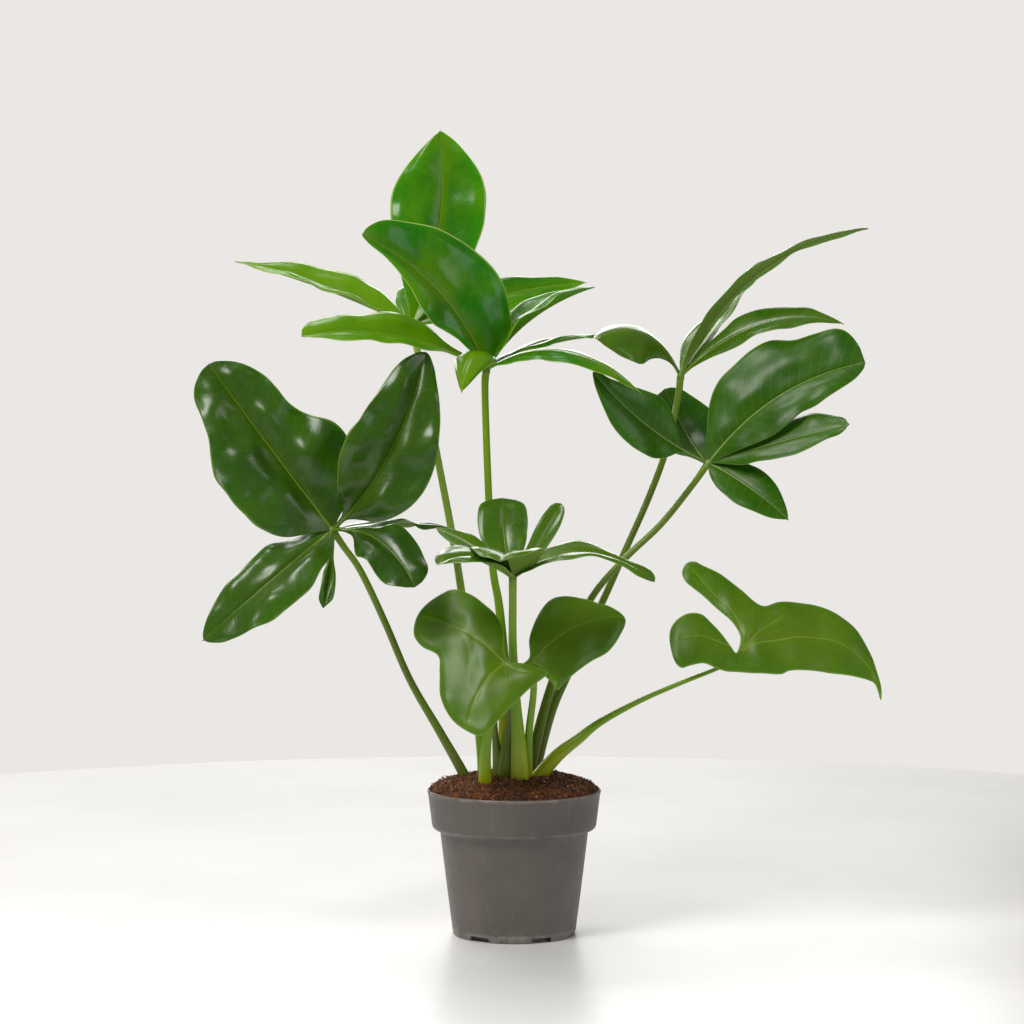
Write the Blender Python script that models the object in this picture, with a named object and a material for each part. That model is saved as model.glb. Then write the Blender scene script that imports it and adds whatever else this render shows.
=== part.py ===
"""A potted philodendron: nine leaves on long stalks rising from one crown in a plastic nursery pot.

Metres, +Z up. The origin is the centre of the pot's flat underside and the plant's front faces -Y.
"""

import math

import bmesh
import bpy
from mathutils import Matrix, Vector

MM = 0.001

# The pot: a thin-walled tapered pot with a deep rim band and drainage slots round the foot.
RIM_RADIUS = 60 * MM
POT_HEIGHT = 100 * MM
BAND_HEIGHT = 27 * MM
BAND_FOOT_RADIUS = 56.5 * MM
BODY_TOP_RADIUS = 51.5 * MM
BASE_RADIUS = 42.5 * MM
WALL = 1.4 * MM
EDGE_ROUND = 1.2 * MM
POT_STEPS = 64
SLOT_COUNT = 6
SLOT_WIDTH = 15 * MM
SLOT_HEIGHT = 3.4 * MM
SLOT_DEPTH = 5 * MM
SLOT_START = -124

# The potting mix: fills the pot and heaps up a little towards the crown.
FILL_GAP = 0.3 * MM
FILL_BELOW_RIM = 2 * MM
HEAP_HEIGHT = 13 * MM
LUMP_HEIGHT = 1.2 * MM
SOCKET_GAP = 0.3 * MM
BURIED = 16 * MM

# The leaves.
BLADE_THICKNESS = 1 * MM
LEAFLET_ROWS = 8
KNUCKLE_RADIUS = 4.2 * MM
YOUNG_SEAT = 3.9 * MM
JOINT_GAP = 0.3 * MM
STALK_SIDES = 8
YOUNG_GRID = 11

RIM_CENTRE = Vector((0, 0, POT_HEIGHT))

POT_GREY = (0.13, 0.12, 0.11)
SOIL_BROWN = (0.09, 0.035, 0.018)
YOUNG_GREEN = (0.10, 0.30, 0.02)
DARK_GREEN = (0.015, 0.10, 0.012)
MID_GREEN = (0.035, 0.17, 0.015)
GREY_GREEN = (0.03, 0.11, 0.03)
STALK_LIME = (0.16, 0.36, 0.03)
STALK_OLIVE = (0.05, 0.16, 0.02)


def clear_scene():
    """Removes whatever the scene starts with."""
    for thing in list(bpy.data.objects):
        bpy.data.objects.remove(thing)


def material(name, colour, roughness):
    """One plain Principled material."""
    made = bpy.data.materials.new(name)
    made.use_nodes = True
    shader = made.node_tree.nodes["Principled BSDF"]
    shader.inputs["Base Color"].default_value = (*colour, 1)
    shader.inputs["Roughness"].default_value = roughness
    return made


def solid(name, points, faces, look=None, cutter=False):
    """An object from points in metres and faces that turn outward."""
    mesh = bpy.data.meshes.new(name)
    mesh.from_pydata([tuple(p) for p in points], [], faces)
    mesh.update()
    made = bpy.data.objects.new(name, mesh)
    bpy.context.scene.collection.objects.link(made)
    if look:
        mesh.materials.append(look)
    if cutter:
        made.hide_render = True
        made.display_type = "WIRE"
    return made


def boolean(target, other, operation):
    """An exact Boolean of another solid on the target."""
    step = target.modifiers.new(operation.title(), "BOOLEAN")
    step.operation = operation
    step.solver = "EXACT"
    step.use_self = operation == "UNION"
    step.object = other


def shade_smooth(thing):
    """Smooth shading for rounded and leafy surfaces."""
    thing.data.shade_smooth()


def lathe(profile, steps):
    """Points and faces of a closed profile turned round Z. The profile runs from axis to axis."""
    points = [Vector((0, 0, profile[0][1]))]
    for radius, height in profile[1:-1]:
        for step in range(steps):
            turn = 2 * math.pi * step / steps
            points.append(Vector((radius * math.cos(turn), radius * math.sin(turn), height)))
    points.append(Vector((0, 0, profile[-1][1])))
    last = len(points) - 1
    rings = len(profile) - 2
    faces = []
    for step in range(steps):
        after = (step + 1) % steps
        faces.append((0, 1 + after, 1 + step))
        for ring in range(rings - 1):
            low = 1 + ring * steps
            high = low + steps
            faces.append((low + step, low + after, high + after, high + step))
        top = 1 + (rings - 1) * steps
        faces.append((top + step, top + after, last))
    return points, faces


# ---- the nursery pot ----


def pot_outline():
    """Half section of the pot, outside first, from the axis under the floor to the axis above it."""
    band_foot = POT_HEIGHT - BAND_HEIGHT
    return [
        (0, 0),
        (BASE_RADIUS - 8 * MM, 0),
        (BASE_RADIUS - EDGE_ROUND, 0),
        (BASE_RADIUS - 0.3 * EDGE_ROUND, 0.3 * EDGE_ROUND),
        (BASE_RADIUS, EDGE_ROUND),
        (BODY_TOP_RADIUS, band_foot),
        (BAND_FOOT_RADIUS - 0.6 * MM, band_foot),
        (BAND_FOOT_RADIUS, band_foot + 0.8 * MM),
        (RIM_RADIUS - 0.2 * MM, POT_HEIGHT - 0.8 * MM),
        (RIM_RADIUS - 0.6 * MM, POT_HEIGHT),
        (RIM_RADIUS - WALL, POT_HEIGHT),
        (BAND_FOOT_RADIUS - WALL, band_foot + WALL),
        (BODY_TOP_RADIUS - WALL, band_foot + WALL),
        (BASE_RADIUS - WALL, WALL + EDGE_ROUND),
        (BASE_RADIUS - WALL - EDGE_ROUND, WALL),
        (0, WALL),
    ]


def drainage_slot(index):
    """A box that opens one slot through the corner of floor and wall."""
    turn = math.radians(SLOT_START + 360 * index / SLOT_COUNT)
    out = Vector((math.cos(turn), math.sin(turn), 0))
    side = Vector((-out.y, out.x, 0))
    near = BASE_RADIUS - SLOT_DEPTH
    far = BASE_RADIUS + 6 * MM
    points = []
    for height in (-2 * MM, SLOT_HEIGHT):
        for along, across in ((near, -1), (far, -1), (far, 1), (near, 1)):
            spot = out * along + side * (across * SLOT_WIDTH / 2)
            points.append(Vector((spot.x, spot.y, height)))
    faces = [(3, 2, 1, 0), (4, 5, 6, 7), (0, 1, 5, 4), (1, 2, 6, 5), (2, 3, 7, 6), (3, 0, 4, 7)]
    return solid(f"slot_cutter_{index}", points, faces, cutter=True)


def nursery_pot():
    """The pot with its drainage slots."""
    points, faces = lathe(pot_outline(), POT_STEPS)
    pot = solid("nursery_pot", points, faces, material("pot_plastic", POT_GREY, 0.55))
    for index in range(SLOT_COUNT):
        boolean(pot, drainage_slot(index), "DIFFERENCE")
    return pot


# ---- the potting mix ----


def mix_outline():
    """Half section of the fill, from the axis at the pot's floor up to the top of the heap."""
    band_foot = POT_HEIGHT - BAND_HEIGHT
    inside = WALL + FILL_GAP
    edge = POT_HEIGHT - FILL_BELOW_RIM
    slope = (RIM_RADIUS - BAND_FOOT_RADIUS) / BAND_HEIGHT
    outline = [
        (0, inside),
        (BASE_RADIUS - inside - EDGE_ROUND - 0.3 * MM, inside),
        (BASE_RADIUS - inside - 0.1 * MM, inside + EDGE_ROUND + 0.3 * MM),
        (BODY_TOP_RADIUS - inside - 0.1 * MM, band_foot + inside),
        (BAND_FOOT_RADIUS - inside - 0.1 * MM, band_foot + inside + 0.1 * MM),
        (RIM_RADIUS - inside - slope * FILL_BELOW_RIM - 0.2 * MM, edge),
    ]
    for share in (0.86, 0.7, 0.52, 0.34, 0.16):
        rise = HEAP_HEIGHT * math.sqrt(1 - share**2)
        outline.append((share * (RIM_RADIUS - inside), edge + rise))
    outline.append((0, edge + HEAP_HEIGHT))
    return outline


def potting_mix():
    """The fill with a lumpy heaped top."""
    points, faces = lathe(mix_outline(), POT_STEPS // 2)
    floor = POT_HEIGHT - FILL_BELOW_RIM + 1.5 * MM
    for spot in points:
        if spot.z > floor:
            lump = math.sin(spot.x * 170 + 1.3) * math.cos(spot.y * 210) + math.sin(spot.x * 390 - spot.y * 330)
            spot.z += 0.5 * LUMP_HEIGHT * lump
    return solid("potting_mix", points, faces, material("coir_mix", SOIL_BROWN, 0.95))


# ---- leaf stalks ----


def smooth_path(path, steps_each):
    """Catmull-Rom points through the path, which holds (x, y, z, radius) in millimetres."""
    knots = [Vector(p) for p in path]
    knots = [2 * knots[0] - knots[1]] + knots + [2 * knots[-1] - knots[-2]]
    out = []
    for i in range(1, len(knots) - 2):
        a, b, c, d = knots[i - 1 : i + 3]
        for step in range(steps_each):
            t = step / steps_each
            bend = (2 * a - 5 * b + 4 * c - d) * t * t + (3 * b - 3 * c + d - a) * t**3
            out.append(0.5 * (2 * b + (c - a) * t + bend))
    out.append(knots[-2])
    return [(Vector(p[:3]) * MM, p[3] * MM) for p in out]


def tube(path, extra=0):
    """Points and faces of a closed round stalk along the path, made fatter by extra."""
    points = []
    count = len(path)
    side = Vector((1, 0, 0))
    for i, (spot, radius) in enumerate(path):
        ahead = (path[min(i + 1, count - 1)][0] - path[max(i - 1, 0)][0]).normalized()
        side = (side - ahead * side.dot(ahead)).normalized()
        other = ahead.cross(side)
        for step in range(STALK_SIDES):
            turn = 2 * math.pi * step / STALK_SIDES
            rim = side * math.cos(turn) + other * math.sin(turn)
            points.append(spot + rim * (radius + extra))
    faces = [tuple(reversed(range(STALK_SIDES)))]
    for ring in range(count - 1):
        low = ring * STALK_SIDES
        for step in range(STALK_SIDES):
            after = (step + 1) % STALK_SIDES
            high = low + STALK_SIDES
            faces.append((low + step, low + after, high + after, high + step))
    top = (count - 1) * STALK_SIDES
    faces.append(tuple(top + step for step in range(STALK_SIDES)))
    return points, faces


def leaf_stalk(name, hub, path, look, soil):
    """A stalk from inside the mix up to just short of the leaf's knuckle, and its socket in the mix."""
    head = Vector(hub)
    last = Vector(path[-1][:3])
    reach = (head - last).length * MM - KNUCKLE_RADIUS - JOINT_GAP
    stop = last + (head - last).normalized() * (reach / MM)
    foot = Vector(path[0][:3])
    rise = (Vector(path[1][:3]) - foot).normalized()
    buried = foot - Vector((rise.x * 0.3, rise.y * 0.3, 1)).normalized() * (BURIED / MM)
    full = [(*buried, path[0][3] * 0.9), *path, (*stop, path[-1][3])]
    spine = [(spot + RIM_CENTRE, radius) for spot, radius in smooth_path(full, 2)]
    points, faces = tube(spine)
    stalk = solid(name, points, faces, look)
    shade_smooth(stalk)
    points, faces = tube(spine[:6], SOCKET_GAP)
    deeper = Vector((0, 0, -SOCKET_GAP))
    points = [p + deeper if i < STALK_SIDES else p for i, p in enumerate(points)]
    boolean(soil, solid(name + "_socket", points, faces, cutter=True), "DIFFERENCE")
    return stalk


# ---- leaf blades ----


def breadth(along, peak, base, tip):
    """Share of a leaflet's full half-width at a share of its length."""
    if along < peak:
        return math.sin(0.5 * math.pi * along / peak) ** base
    return math.cos(0.5 * math.pi * (along - peak) / (1 - peak)) ** tip


def leaflet(name, hub, tip, width, face, arch=(0, 0, 0), fold=(12, 12), twist=0, form=(0.42, 0.8, 0.8)):
    """One leaflet: a folded, arched sheet from the leaf's hub to its tip.

    tip is measured from the hub; width holds the two half-widths, left and right of the midrib as seen
    on the upper face; face is the way the upper face looks at mid-length; arch moves the middle of the
    midrib; fold lifts each half about the midrib; form is the widest place, and the base and tip shapes.
    """
    start, reach, bow = Vector(hub), Vector(tip), Vector(arch)
    upper, lower = [], []
    for row in range(LEAFLET_ROWS + 1):
        t = row / LEAFLET_ROWS
        spot = start + reach * t + bow * (4 * t * (1 - t))
        ahead = (reach + bow * (4 - 8 * t)).normalized()
        up = Vector(face)
        up = (up - ahead * up.dot(ahead)).normalized()
        up = Matrix.Rotation(math.radians(twist * (t - 0.5)), 3, ahead) @ up
        side = ahead.cross(up)
        share = breadth(t, *form)
        for s in (-1, -0.5, 0, 0.5, 1):
            half = max(width[s > 0] * share, 1.2)
            lift = math.radians(fold[s > 0])
            point = spot + side * (half * s * math.cos(lift)) + up * (half * abs(s) * math.sin(lift))
            upper.append(point * MM + RIM_CENTRE + up * (0.5 * BLADE_THICKNESS))
            lower.append(point * MM + RIM_CENTRE - up * (0.5 * BLADE_THICKNESS))
    points, faces = sheet(upper, lower, 5)
    return solid(name, points, faces, cutter=True)


def sheet(upper, lower, columns):
    """Closes two matching grids of points into one thin solid."""
    points = upper + lower
    under = len(upper)
    rows = len(upper) // columns
    faces = []
    for row in range(rows - 1):
        for column in range(columns - 1):
            a = row * columns + column
            b, c, d = a + 1, a + columns + 1, a + columns
            faces.append((d, c, b, a))
            faces.append((under + a, under + b, under + c, under + d))
        left = row * columns
        right = left + columns - 1
        faces.append((left, under + left, under + left + columns, left + columns))
        faces.append((right + columns, under + right + columns, under + right, right))
    last = (rows - 1) * columns
    for column in range(columns - 1):
        faces.append((column, column + 1, under + column + 1, under + column))
        faces.append((last + column + 1, last + column, under + last + column, under + last + column + 1))
    return points, faces


def knuckle(name, hub, look):
    """The small knob where a leaf's stalk meets its blade."""
    steps = 10
    radius = KNUCKLE_RADIUS
    levels = 5
    profile = [(0, -radius)]
    for level in range(1, levels):
        tilt = math.pi * level / levels
        profile.append((radius * math.sin(tilt), -radius * math.cos(tilt)))
    profile.append((0, radius))
    points, faces = lathe(profile, steps)
    centre = Vector(hub) * MM + RIM_CENTRE
    return solid(name, [p + centre for p in points], faces, look)


def divided_blade(name, hub, look, leaflets):
    """A blade of several leaflets joined at one knuckle."""
    blade = knuckle(name, hub, look)
    for index, shape in enumerate(leaflets):
        boolean(blade, leaflet(f"{name}_leaflet_{index}", hub, **shape), "UNION")
    shade_smooth(blade)
    return blade


def young_blade(name, hub, outline, lean, cup, look):
    """An undivided lobed blade.

    outline holds (right, up) of points round the edge, measured from the hub and seen from the front;
    lean is the way the upper face looks; cup lifts the edge towards that side.
    """
    face = Vector(lean).normalized()
    flat, triangles, rim = filled_outline(closed_curve(outline, 2))
    span = max(spot.length for spot in flat)
    upper, lower = [], []
    for spot in flat:
        depth = -(face.x * spot.x + face.z * spot.y) / face.y
        lift = cup * (spot.length / span) ** 2
        point = Vector(hub) + Vector((spot.x, depth, spot.y)) + face * (lift + YOUNG_SEAT / MM)
        upper.append(point * MM + RIM_CENTRE + face * (0.5 * BLADE_THICKNESS))
        lower.append(point * MM + RIM_CENTRE - face * (0.5 * BLADE_THICKNESS))
    under = len(upper)
    faces = list(triangles)
    faces += [tuple(under + i for i in reversed(face_)) for face_ in triangles]
    faces += [(i, under + i, under + j, j) for i, j in rim]
    blade = knuckle(name, hub, look)
    boolean(blade, solid(name + "_sheet", upper + lower, faces, cutter=True), "UNION")
    shade_smooth(blade)
    return blade


def filled_outline(outline):
    """Flat points, triangles and rim edges of a closed outline, cut up by a square grid."""
    flat = bmesh.new()
    ring = [flat.verts.new((spot.x, spot.y, 0)) for spot in outline]
    flat.faces.new(ring)
    lows = [min(spot[axis] for spot in outline) for axis in (0, 1)]
    highs = [max(spot[axis] for spot in outline) for axis in (0, 1)]
    for axis in (0, 1):
        normal = Vector((1, 0, 0)) if axis == 0 else Vector((0, 1, 0))
        cuts = round((highs[axis] - lows[axis]) / YOUNG_GRID)
        for cut in range(1, cuts):
            spot = normal * (lows[axis] + (highs[axis] - lows[axis]) * cut / cuts)
            whole = flat.verts[:] + flat.edges[:] + flat.faces[:]
            bmesh.ops.bisect_plane(flat, geom=whole, plane_co=spot, plane_no=normal, dist=0.05)
    bmesh.ops.triangulate(flat, faces=flat.faces[:])
    bmesh.ops.recalc_face_normals(flat, faces=flat.faces[:])
    flat.verts.index_update()
    flat.normal_update()
    if sum(face.normal.z * face.calc_area() for face in flat.faces) < 0:
        bmesh.ops.reverse_faces(flat, faces=flat.faces[:])
    points = [Vector((vert.co.x, vert.co.y)) for vert in flat.verts]
    triangles = [tuple(vert.index for vert in face.verts) for face in flat.faces]
    rim = [(loop.vert.index, loop.link_loop_next.vert.index)
           for face in flat.faces for loop in face.loops if loop.edge.is_boundary]
    flat.free()
    return points, triangles, rim


def closed_curve(outline, steps_each):
    """Catmull-Rom points round a closed outline of flat points."""
    knots = [Vector(p) for p in outline]
    count = len(knots)
    out = []
    for i in range(count):
        a, b, c, d = (knots[(i + k) % count] for k in (-1, 0, 1, 2))
        for step in range(steps_each):
            t = step / steps_each
            bend = (2 * a - 5 * b + 4 * c - d) * t * t + (3 * b - 3 * c + d - a) * t**3
            out.append(0.5 * (2 * b + (c - a) * t + bend))
    return out


# ---- the nine leaves: millimetres from the centre of the pot's rim ----


def top_leaf(soil):
    """The tall young leaf at the top: bright green, six leaflets."""
    hub = (-19, -10, 290)
    divided_blade("top_leaf_blade", hub, material("top_leaf_green", YOUNG_GREEN, 0.3), [
        dict(tip=(-80, -35, 88), arch=(6, 4, 6), width=(27, 45), face=(0.1, -0.9, 0.4), fold=(20, 8),
             form=(0.45, 0.6, 0.65)),
        dict(tip=(-122, -30, 20), arch=(0, 0, 4), width=(23, 23), face=(0, -0.55, 0.8), fold=(18, 18),
             form=(0.4, 1.0, 0.9)),
        dict(tip=(-16, -62, -17), arch=(0, 0, 19), width=(16, 16), face=(0, -0.2, 1), fold=(-20, -20)),
        dict(tip=(75, 28, 57), arch=(-7, 0, 6), width=(29, 29), face=(-0.5, 0.25, 0.8), fold=(20, 20)),
        dict(tip=(87, 70, 24), arch=(0, 0, 6), width=(15, 15), face=(0, 0.1, 1)),
        dict(tip=(104, -40, -17), arch=(0, 0, 20), width=(17, 17), face=(0.1, -0.1, 1), fold=(-12, -12)),
    ])
    path = [(0, 2, 6, 6.5), (-3, 2, 61, 4.7), (-10, 3, 123, 3.4), (-15, 3, 155, 3), (-18, 0, 213, 2.9),
            (-20, -7, 274, 2.8)]
    leaf_stalk("top_leaf_stalk", hub, path, material("top_stalk_green", STALK_LIME, 0.45), soil)


def back_top_leaf(soil):
    """The second tall young leaf, behind the top one."""
    hub = (-72, 40, 321)
    divided_blade("back_top_leaf_blade", hub, material("back_top_green", YOUNG_GREEN, 0.3), [
        dict(tip=(-126, 20, 46), arch=(0, 0, 4), width=(24, 24), face=(0.2, -0.35, 0.85), fold=(24, 24),
             form=(0.4, 1.0, 1.0)),
        dict(tip=(18, 8, 136), arch=(9, 8, 0), width=(34, 34), face=(-0.05, -0.95, 0.15), fold=(10, 10),
             form=(0.58, 0.9, 0.75)),
        dict(tip=(124, 38, 32), arch=(0, 4, 6), width=(21, 21), face=(-0.1, -0.6, 0.8), fold=(10, 10)),
        dict(tip=(5, 88, 30), arch=(0, 0, 12), width=(24, 24), face=(0, -0.2, 1)),
    ])
    path = [(-21, 8, 5, 4.2), (-24, 14, 39, 3.6), (-36, 25, 129, 3.2), (-44, 30, 178, 3),
            (-54, 35, 230, 2.9), (-68, 39, 304, 2.8)]
    leaf_stalk("back_top_leaf_stalk", hub, path, material("back_top_stalk_green", STALK_LIME, 0.45), soil)


def left_leaf(soil):
    """The big dark leaf on the left."""
    hub = (-124, -20, 180)
    divided_blade("left_leaf_blade", hub, material("left_leaf_green", DARK_GREEN, 0.22), [
        dict(tip=(-82, -6, 116), arch=(-2, -6, 2), width=(43, 44), face=(-0.2, -0.85, 0.45), fold=(12, 12),
             form=(0.36, 0.5, 0.68)),
        dict(tip=(61, 10, 119), arch=(3, -6, -2), width=(29, 36), face=(0.3, -0.85, 0.35), fold=(14, 14),
             form=(0.5, 0.7, 0.7)),
        dict(tip=(-86, -25, -74), arch=(1, -8, 2), width=(28, 22), face=(-0.25, -0.8, 0.5), fold=(10, 10),
             form=(0.52, 0.6, 0.62)),
        dict(tip=(-2, -34, -50), arch=(0, -4, 4), width=(6, 6), face=(0.3, -0.9, 0.3), twist=40),
        dict(tip=(56, -50, -34), arch=(2, -4, 12), width=(21, 17), face=(0.25, -0.6, 0.7), fold=(8, 8),
             form=(0.55, 0.9, 0.45)),
        dict(tip=(80, 30, 0), arch=(0, 0, 3), width=(15, 15), face=(0, -0.1, 1), fold=(8, 8)),
    ])
    path = [(-33, 3, 5, 4), (-51, 2, 38, 3.3), (-72, 0, 75, 3.1), (-89, -8, 116, 3),
            (-105, -14, 151, 2.9), (-117, -18, 169, 2.8)]
    leaf_stalk("left_leaf_stalk", hub, path, material("left_stalk_green", STALK_OLIVE, 0.45), soil)


def right_leaf(soil):
    """The dark leaf on the right, below the upper right one."""
    hub = (134, 5, 225)
    divided_blade("right_leaf_blade", hub, material("right_leaf_green", DARK_GREEN, 0.25), [
        dict(tip=(105, -15, 70), arch=(-6, 0, 11), width=(34, 30), face=(-0.25, -0.8, 0.55), fold=(10, 12),
             form=(0.52, 0.6, 0.5)),
        dict(tip=(92, -42, 27), arch=(0, -2, 1), width=(20, 19), face=(0, -0.65, 0.75), fold=(8, 8),
             form=(0.55, 1.0, 0.6)),
        dict(tip=(52, -35, -38), arch=(0, -4, 3), width=(16, 19), face=(0.1, -0.8, 0.55), fold=(10, 10),
             form=(0.5, 0.8, 0.8)),
        dict(tip=(-81, -45, 62), arch=(-3, 0, -5), width=(21, 18), face=(-0.1, -0.85, 0.5), fold=(12, 12),
             form=(0.52, 1.3, 0.75)),
        dict(tip=(-26, 74, 52), arch=(4, 24, -10), width=(26, 27), face=(0.1, -0.8, 0.6), fold=(8, 8),
             form=(0.58, 0.9, 0.5)),
    ])
    path = [(8, 14, 5, 4.6), (11, 11, 50, 3.8), (24, 9, 96, 3.3), (50, 8, 134, 3.1), (77, 8, 159, 3),
            (101, 7, 182, 2.9), (122, 6, 208, 2.8)]
    leaf_stalk("right_leaf_stalk", hub, path, material("right_stalk_green", STALK_OLIVE, 0.45), soil)


def upper_right_leaf(soil):
    """The leaf at the upper right, with long folded leaflets."""
    hub = (117, 40, 286)
    divided_blade("upper_right_leaf_blade", hub, material("upper_right_green", MID_GREEN, 0.3), [
        dict(tip=(128, -10, 104), arch=(-6, 0, 10), width=(19, 19), face=(-0.55, -0.3, 0.8), fold=(38, 38),
             form=(0.4, 0.9, 1.1)),
        dict(tip=(111, -30, 35), arch=(0, 0, 11), width=(17, 17), face=(0, 0.1, 1), fold=(10, 10),
             form=(0.45, 0.9, 1.0)),
        dict(tip=(-60, -44, 24), arch=(3, 0, 17), width=(26, 24), face=(-0.1, -0.7, 0.7), fold=(-6, -10),
             form=(0.55, 1.2, 0.6)),
        dict(tip=(66, 55, 84), arch=(-10, 0, 8), width=(22, 22), face=(-0.5, -0.4, 0.75)),
    ])
    path = [(20, 11, 7, 4.6), (28, 15, 52, 3.8), (42, 20, 79, 3.4), (62, 26, 128, 3.2), (79, 29, 166, 3),
            (95, 32, 202, 2.9), (107, 34, 235, 2.8), (115, 38, 270, 2.8)]
    leaf_stalk("upper_right_leaf_stalk", hub, path, material("upper_right_stalk", STALK_OLIVE, 0.45), soil)


def middle_leaf(soil):
    """The greyish leaf in the middle, held flat on a short stalk."""
    hub = (-1, -60, 150)
    divided_blade("middle_leaf_blade", hub, material("middle_leaf_green", GREY_GREEN, 0.3), [
        dict(tip=(-7, 32, 52), arch=(-2, 8, -4), width=(18, 18), face=(0, -0.85, 0.5), fold=(6, 6),
             form=(0.65, 0.9, 0.4)),
        dict(tip=(33, 40, 48), arch=(0, 6, -4), width=(8, 8), face=(0, -0.8, 0.6), form=(0.7, 0.8, 0.5)),
        dict(tip=(-52, 28, 32), arch=(0, 0, 3), width=(9, 9), face=(0.3, -0.5, 0.8), form=(0.6, 0.9, 0.6)),
        dict(tip=(-50, -25, 10), arch=(0, 0, 6), width=(20, 20), face=(0, -0.1, 1), fold=(10, 10)),
        dict(tip=(94, -14, -2), arch=(0, 0, 18), width=(16, 16), face=(0, -0.15, 1), fold=(12, 12),
             form=(0.4, 0.8, 0.8)),
        dict(tip=(-8, -62, 12), arch=(0, 0, 8), width=(20, 20), face=(0, 0.1, 1), fold=(14, 14)),
    ])
    path = [(3, -25, 4, 5.4), (1, -28, 57, 4.2), (-1, -42, 103, 3.3), (-1, -54, 131, 3),
            (-1, -58, 140, 2.9)]
    leaf_stalk("middle_leaf_stalk", hub, path, material("middle_stalk_green", STALK_LIME, 0.45), soil)


def front_left_leaf(soil):
    """The small young leaf at the front left, broad and barely lobed."""
    hub = (-6, -58, 92)
    outline = [(0, 5), (-2, 26), (-12, 40), (-28, 47), (-45, 45), (-59, 33), (-61, 15), (-44, 2), (-44, -18),
               (-36, -35), (-19, -44), (-5, -37), (13, -22), (28, -8), (22, -4), (6, -2)]
    young_blade("front_left_leaf_blade", hub, outline, (-0.1, -0.85, 0.5), -5,
                material("front_left_green", MID_GREEN, 0.32))
    path = [(-20, -27, 3, 4.6), (-19, -37, 35, 4), (-13, -44, 67, 3.2), (-8, -50, 83, 2.8)]
    leaf_stalk("front_left_leaf_stalk", hub, path, material("front_left_stalk", STALK_LIME, 0.45), soil)


def front_right_leaf(soil):
    """The small young leaf at the front right."""
    hub = (12, -42, 91)
    outline = [(-4, 1), (-1, 18), (13, 35), (30, 44), (48, 40), (64, 29), (54, 11), (33, -3), (20, -8),
               (15, -15), (10, -13), (1, -4)]
    young_blade("front_right_leaf_blade", hub, outline, (0.1, -0.85, 0.5), -4,
                material("front_right_green", MID_GREEN, 0.32))
    path = [(9, -13, 5, 3.6), (10, -22, 40, 3.1), (13, -30, 68, 2.7), (13, -36, 82, 2.6)]
    leaf_stalk("front_right_leaf_stalk", hub, path, material("front_right_stalk", STALK_LIME, 0.45), soil)


def low_right_leaf(soil):
    """The lobed leaf held out low on the right, on the thickest stalk."""
    hub = (156, -20, 97)
    outline = [(-4, 2), (-11, 18), (-28, 33), (-39, 46), (-35, 58), (-24, 56), (-8, 42), (9, 29), (38, 33),
               (66, 25), (84, 5), (94, -29), (73, -15), (39, -11), (12, -16), (-8, -13), (-18, -11),
               (-28, -4), (-42, -8), (-48, 2), (-49, 14), (-44, 20), (-32, 24), (-20, 17), (-12, 7)]
    young_blade("low_right_leaf_blade", hub, outline, (0.15, -0.8, 0.55), -6,
                material("low_right_green", MID_GREEN, 0.4))
    path = [(20, -8, 5, 5.4), (31, -10, 23, 5), (45, -10, 36, 4.4), (59, -10, 47, 3.8),
            (86, -12, 62, 3.1), (113, -13, 74, 2.8), (138, -14, 84, 2.6), (150, -16, 90, 2.6)]
    leaf_stalk("low_right_leaf_stalk", hub, path, material("low_right_stalk", STALK_LIME, 0.45), soil)


clear_scene()
nursery_pot()
mix = potting_mix()
top_leaf(mix)
back_top_leaf(mix)
left_leaf(mix)
right_leaf(mix)
upper_right_leaf(mix)
middle_leaf(mix)
front_left_leaf(mix)
front_right_leaf(mix)
low_right_leaf(mix)
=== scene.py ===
"""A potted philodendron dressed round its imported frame: nine leaves on long stalks in a grey nursery pot."""

import math

import bmesh
import bpy
import numpy as np
from mathutils import Matrix, Vector
from mathutils.geometry import delaunay_2d_cdt


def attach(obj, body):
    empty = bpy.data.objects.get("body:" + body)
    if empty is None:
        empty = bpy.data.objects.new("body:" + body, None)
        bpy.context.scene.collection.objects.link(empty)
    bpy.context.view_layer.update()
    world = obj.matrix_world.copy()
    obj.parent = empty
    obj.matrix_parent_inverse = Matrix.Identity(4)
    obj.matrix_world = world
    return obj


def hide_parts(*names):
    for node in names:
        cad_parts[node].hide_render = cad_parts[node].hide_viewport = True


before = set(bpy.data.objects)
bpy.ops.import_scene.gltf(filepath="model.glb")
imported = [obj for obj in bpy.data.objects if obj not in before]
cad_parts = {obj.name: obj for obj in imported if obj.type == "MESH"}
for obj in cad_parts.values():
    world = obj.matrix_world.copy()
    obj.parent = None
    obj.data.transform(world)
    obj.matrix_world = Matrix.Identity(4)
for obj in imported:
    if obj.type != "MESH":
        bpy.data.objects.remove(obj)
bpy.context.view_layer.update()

# ---- the room ----
# A round pale table top of honed stone in front of a pale wall. A window light stands high in front
# on the left, a wide soft light behind, a small one above and a weak fill on the right.

TABLE_RADIUS, TABLE_THICKNESS, TABLE_STEPS = 0.97, 0.03, 180
WALL_COLOUR, WALL_LIGHT, WALL_SEEN = (0.96, 0.935, 0.905, 1), 0.22, 0.86
LIGHT_AIM = (0, 0, 0.3)
CAMERA_SPOT, CAMERA_DIP, CAMERA_LENS = (-0.0015, -1.86, 0.358), 2.05, 95


def add_node(tree, kind, inputs=None, **settings):
    """A node with its settings made, and each input given a value or joined to an output."""
    node = tree.nodes.new(kind)
    for setting, value in settings.items():
        setattr(node, setting, value)
    for key, value in (inputs or {}).items():
        if isinstance(value, bpy.types.NodeSocket):
            tree.links.new(value, node.inputs[key])
        else:
            node.inputs[key].default_value = value
    return node


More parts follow.
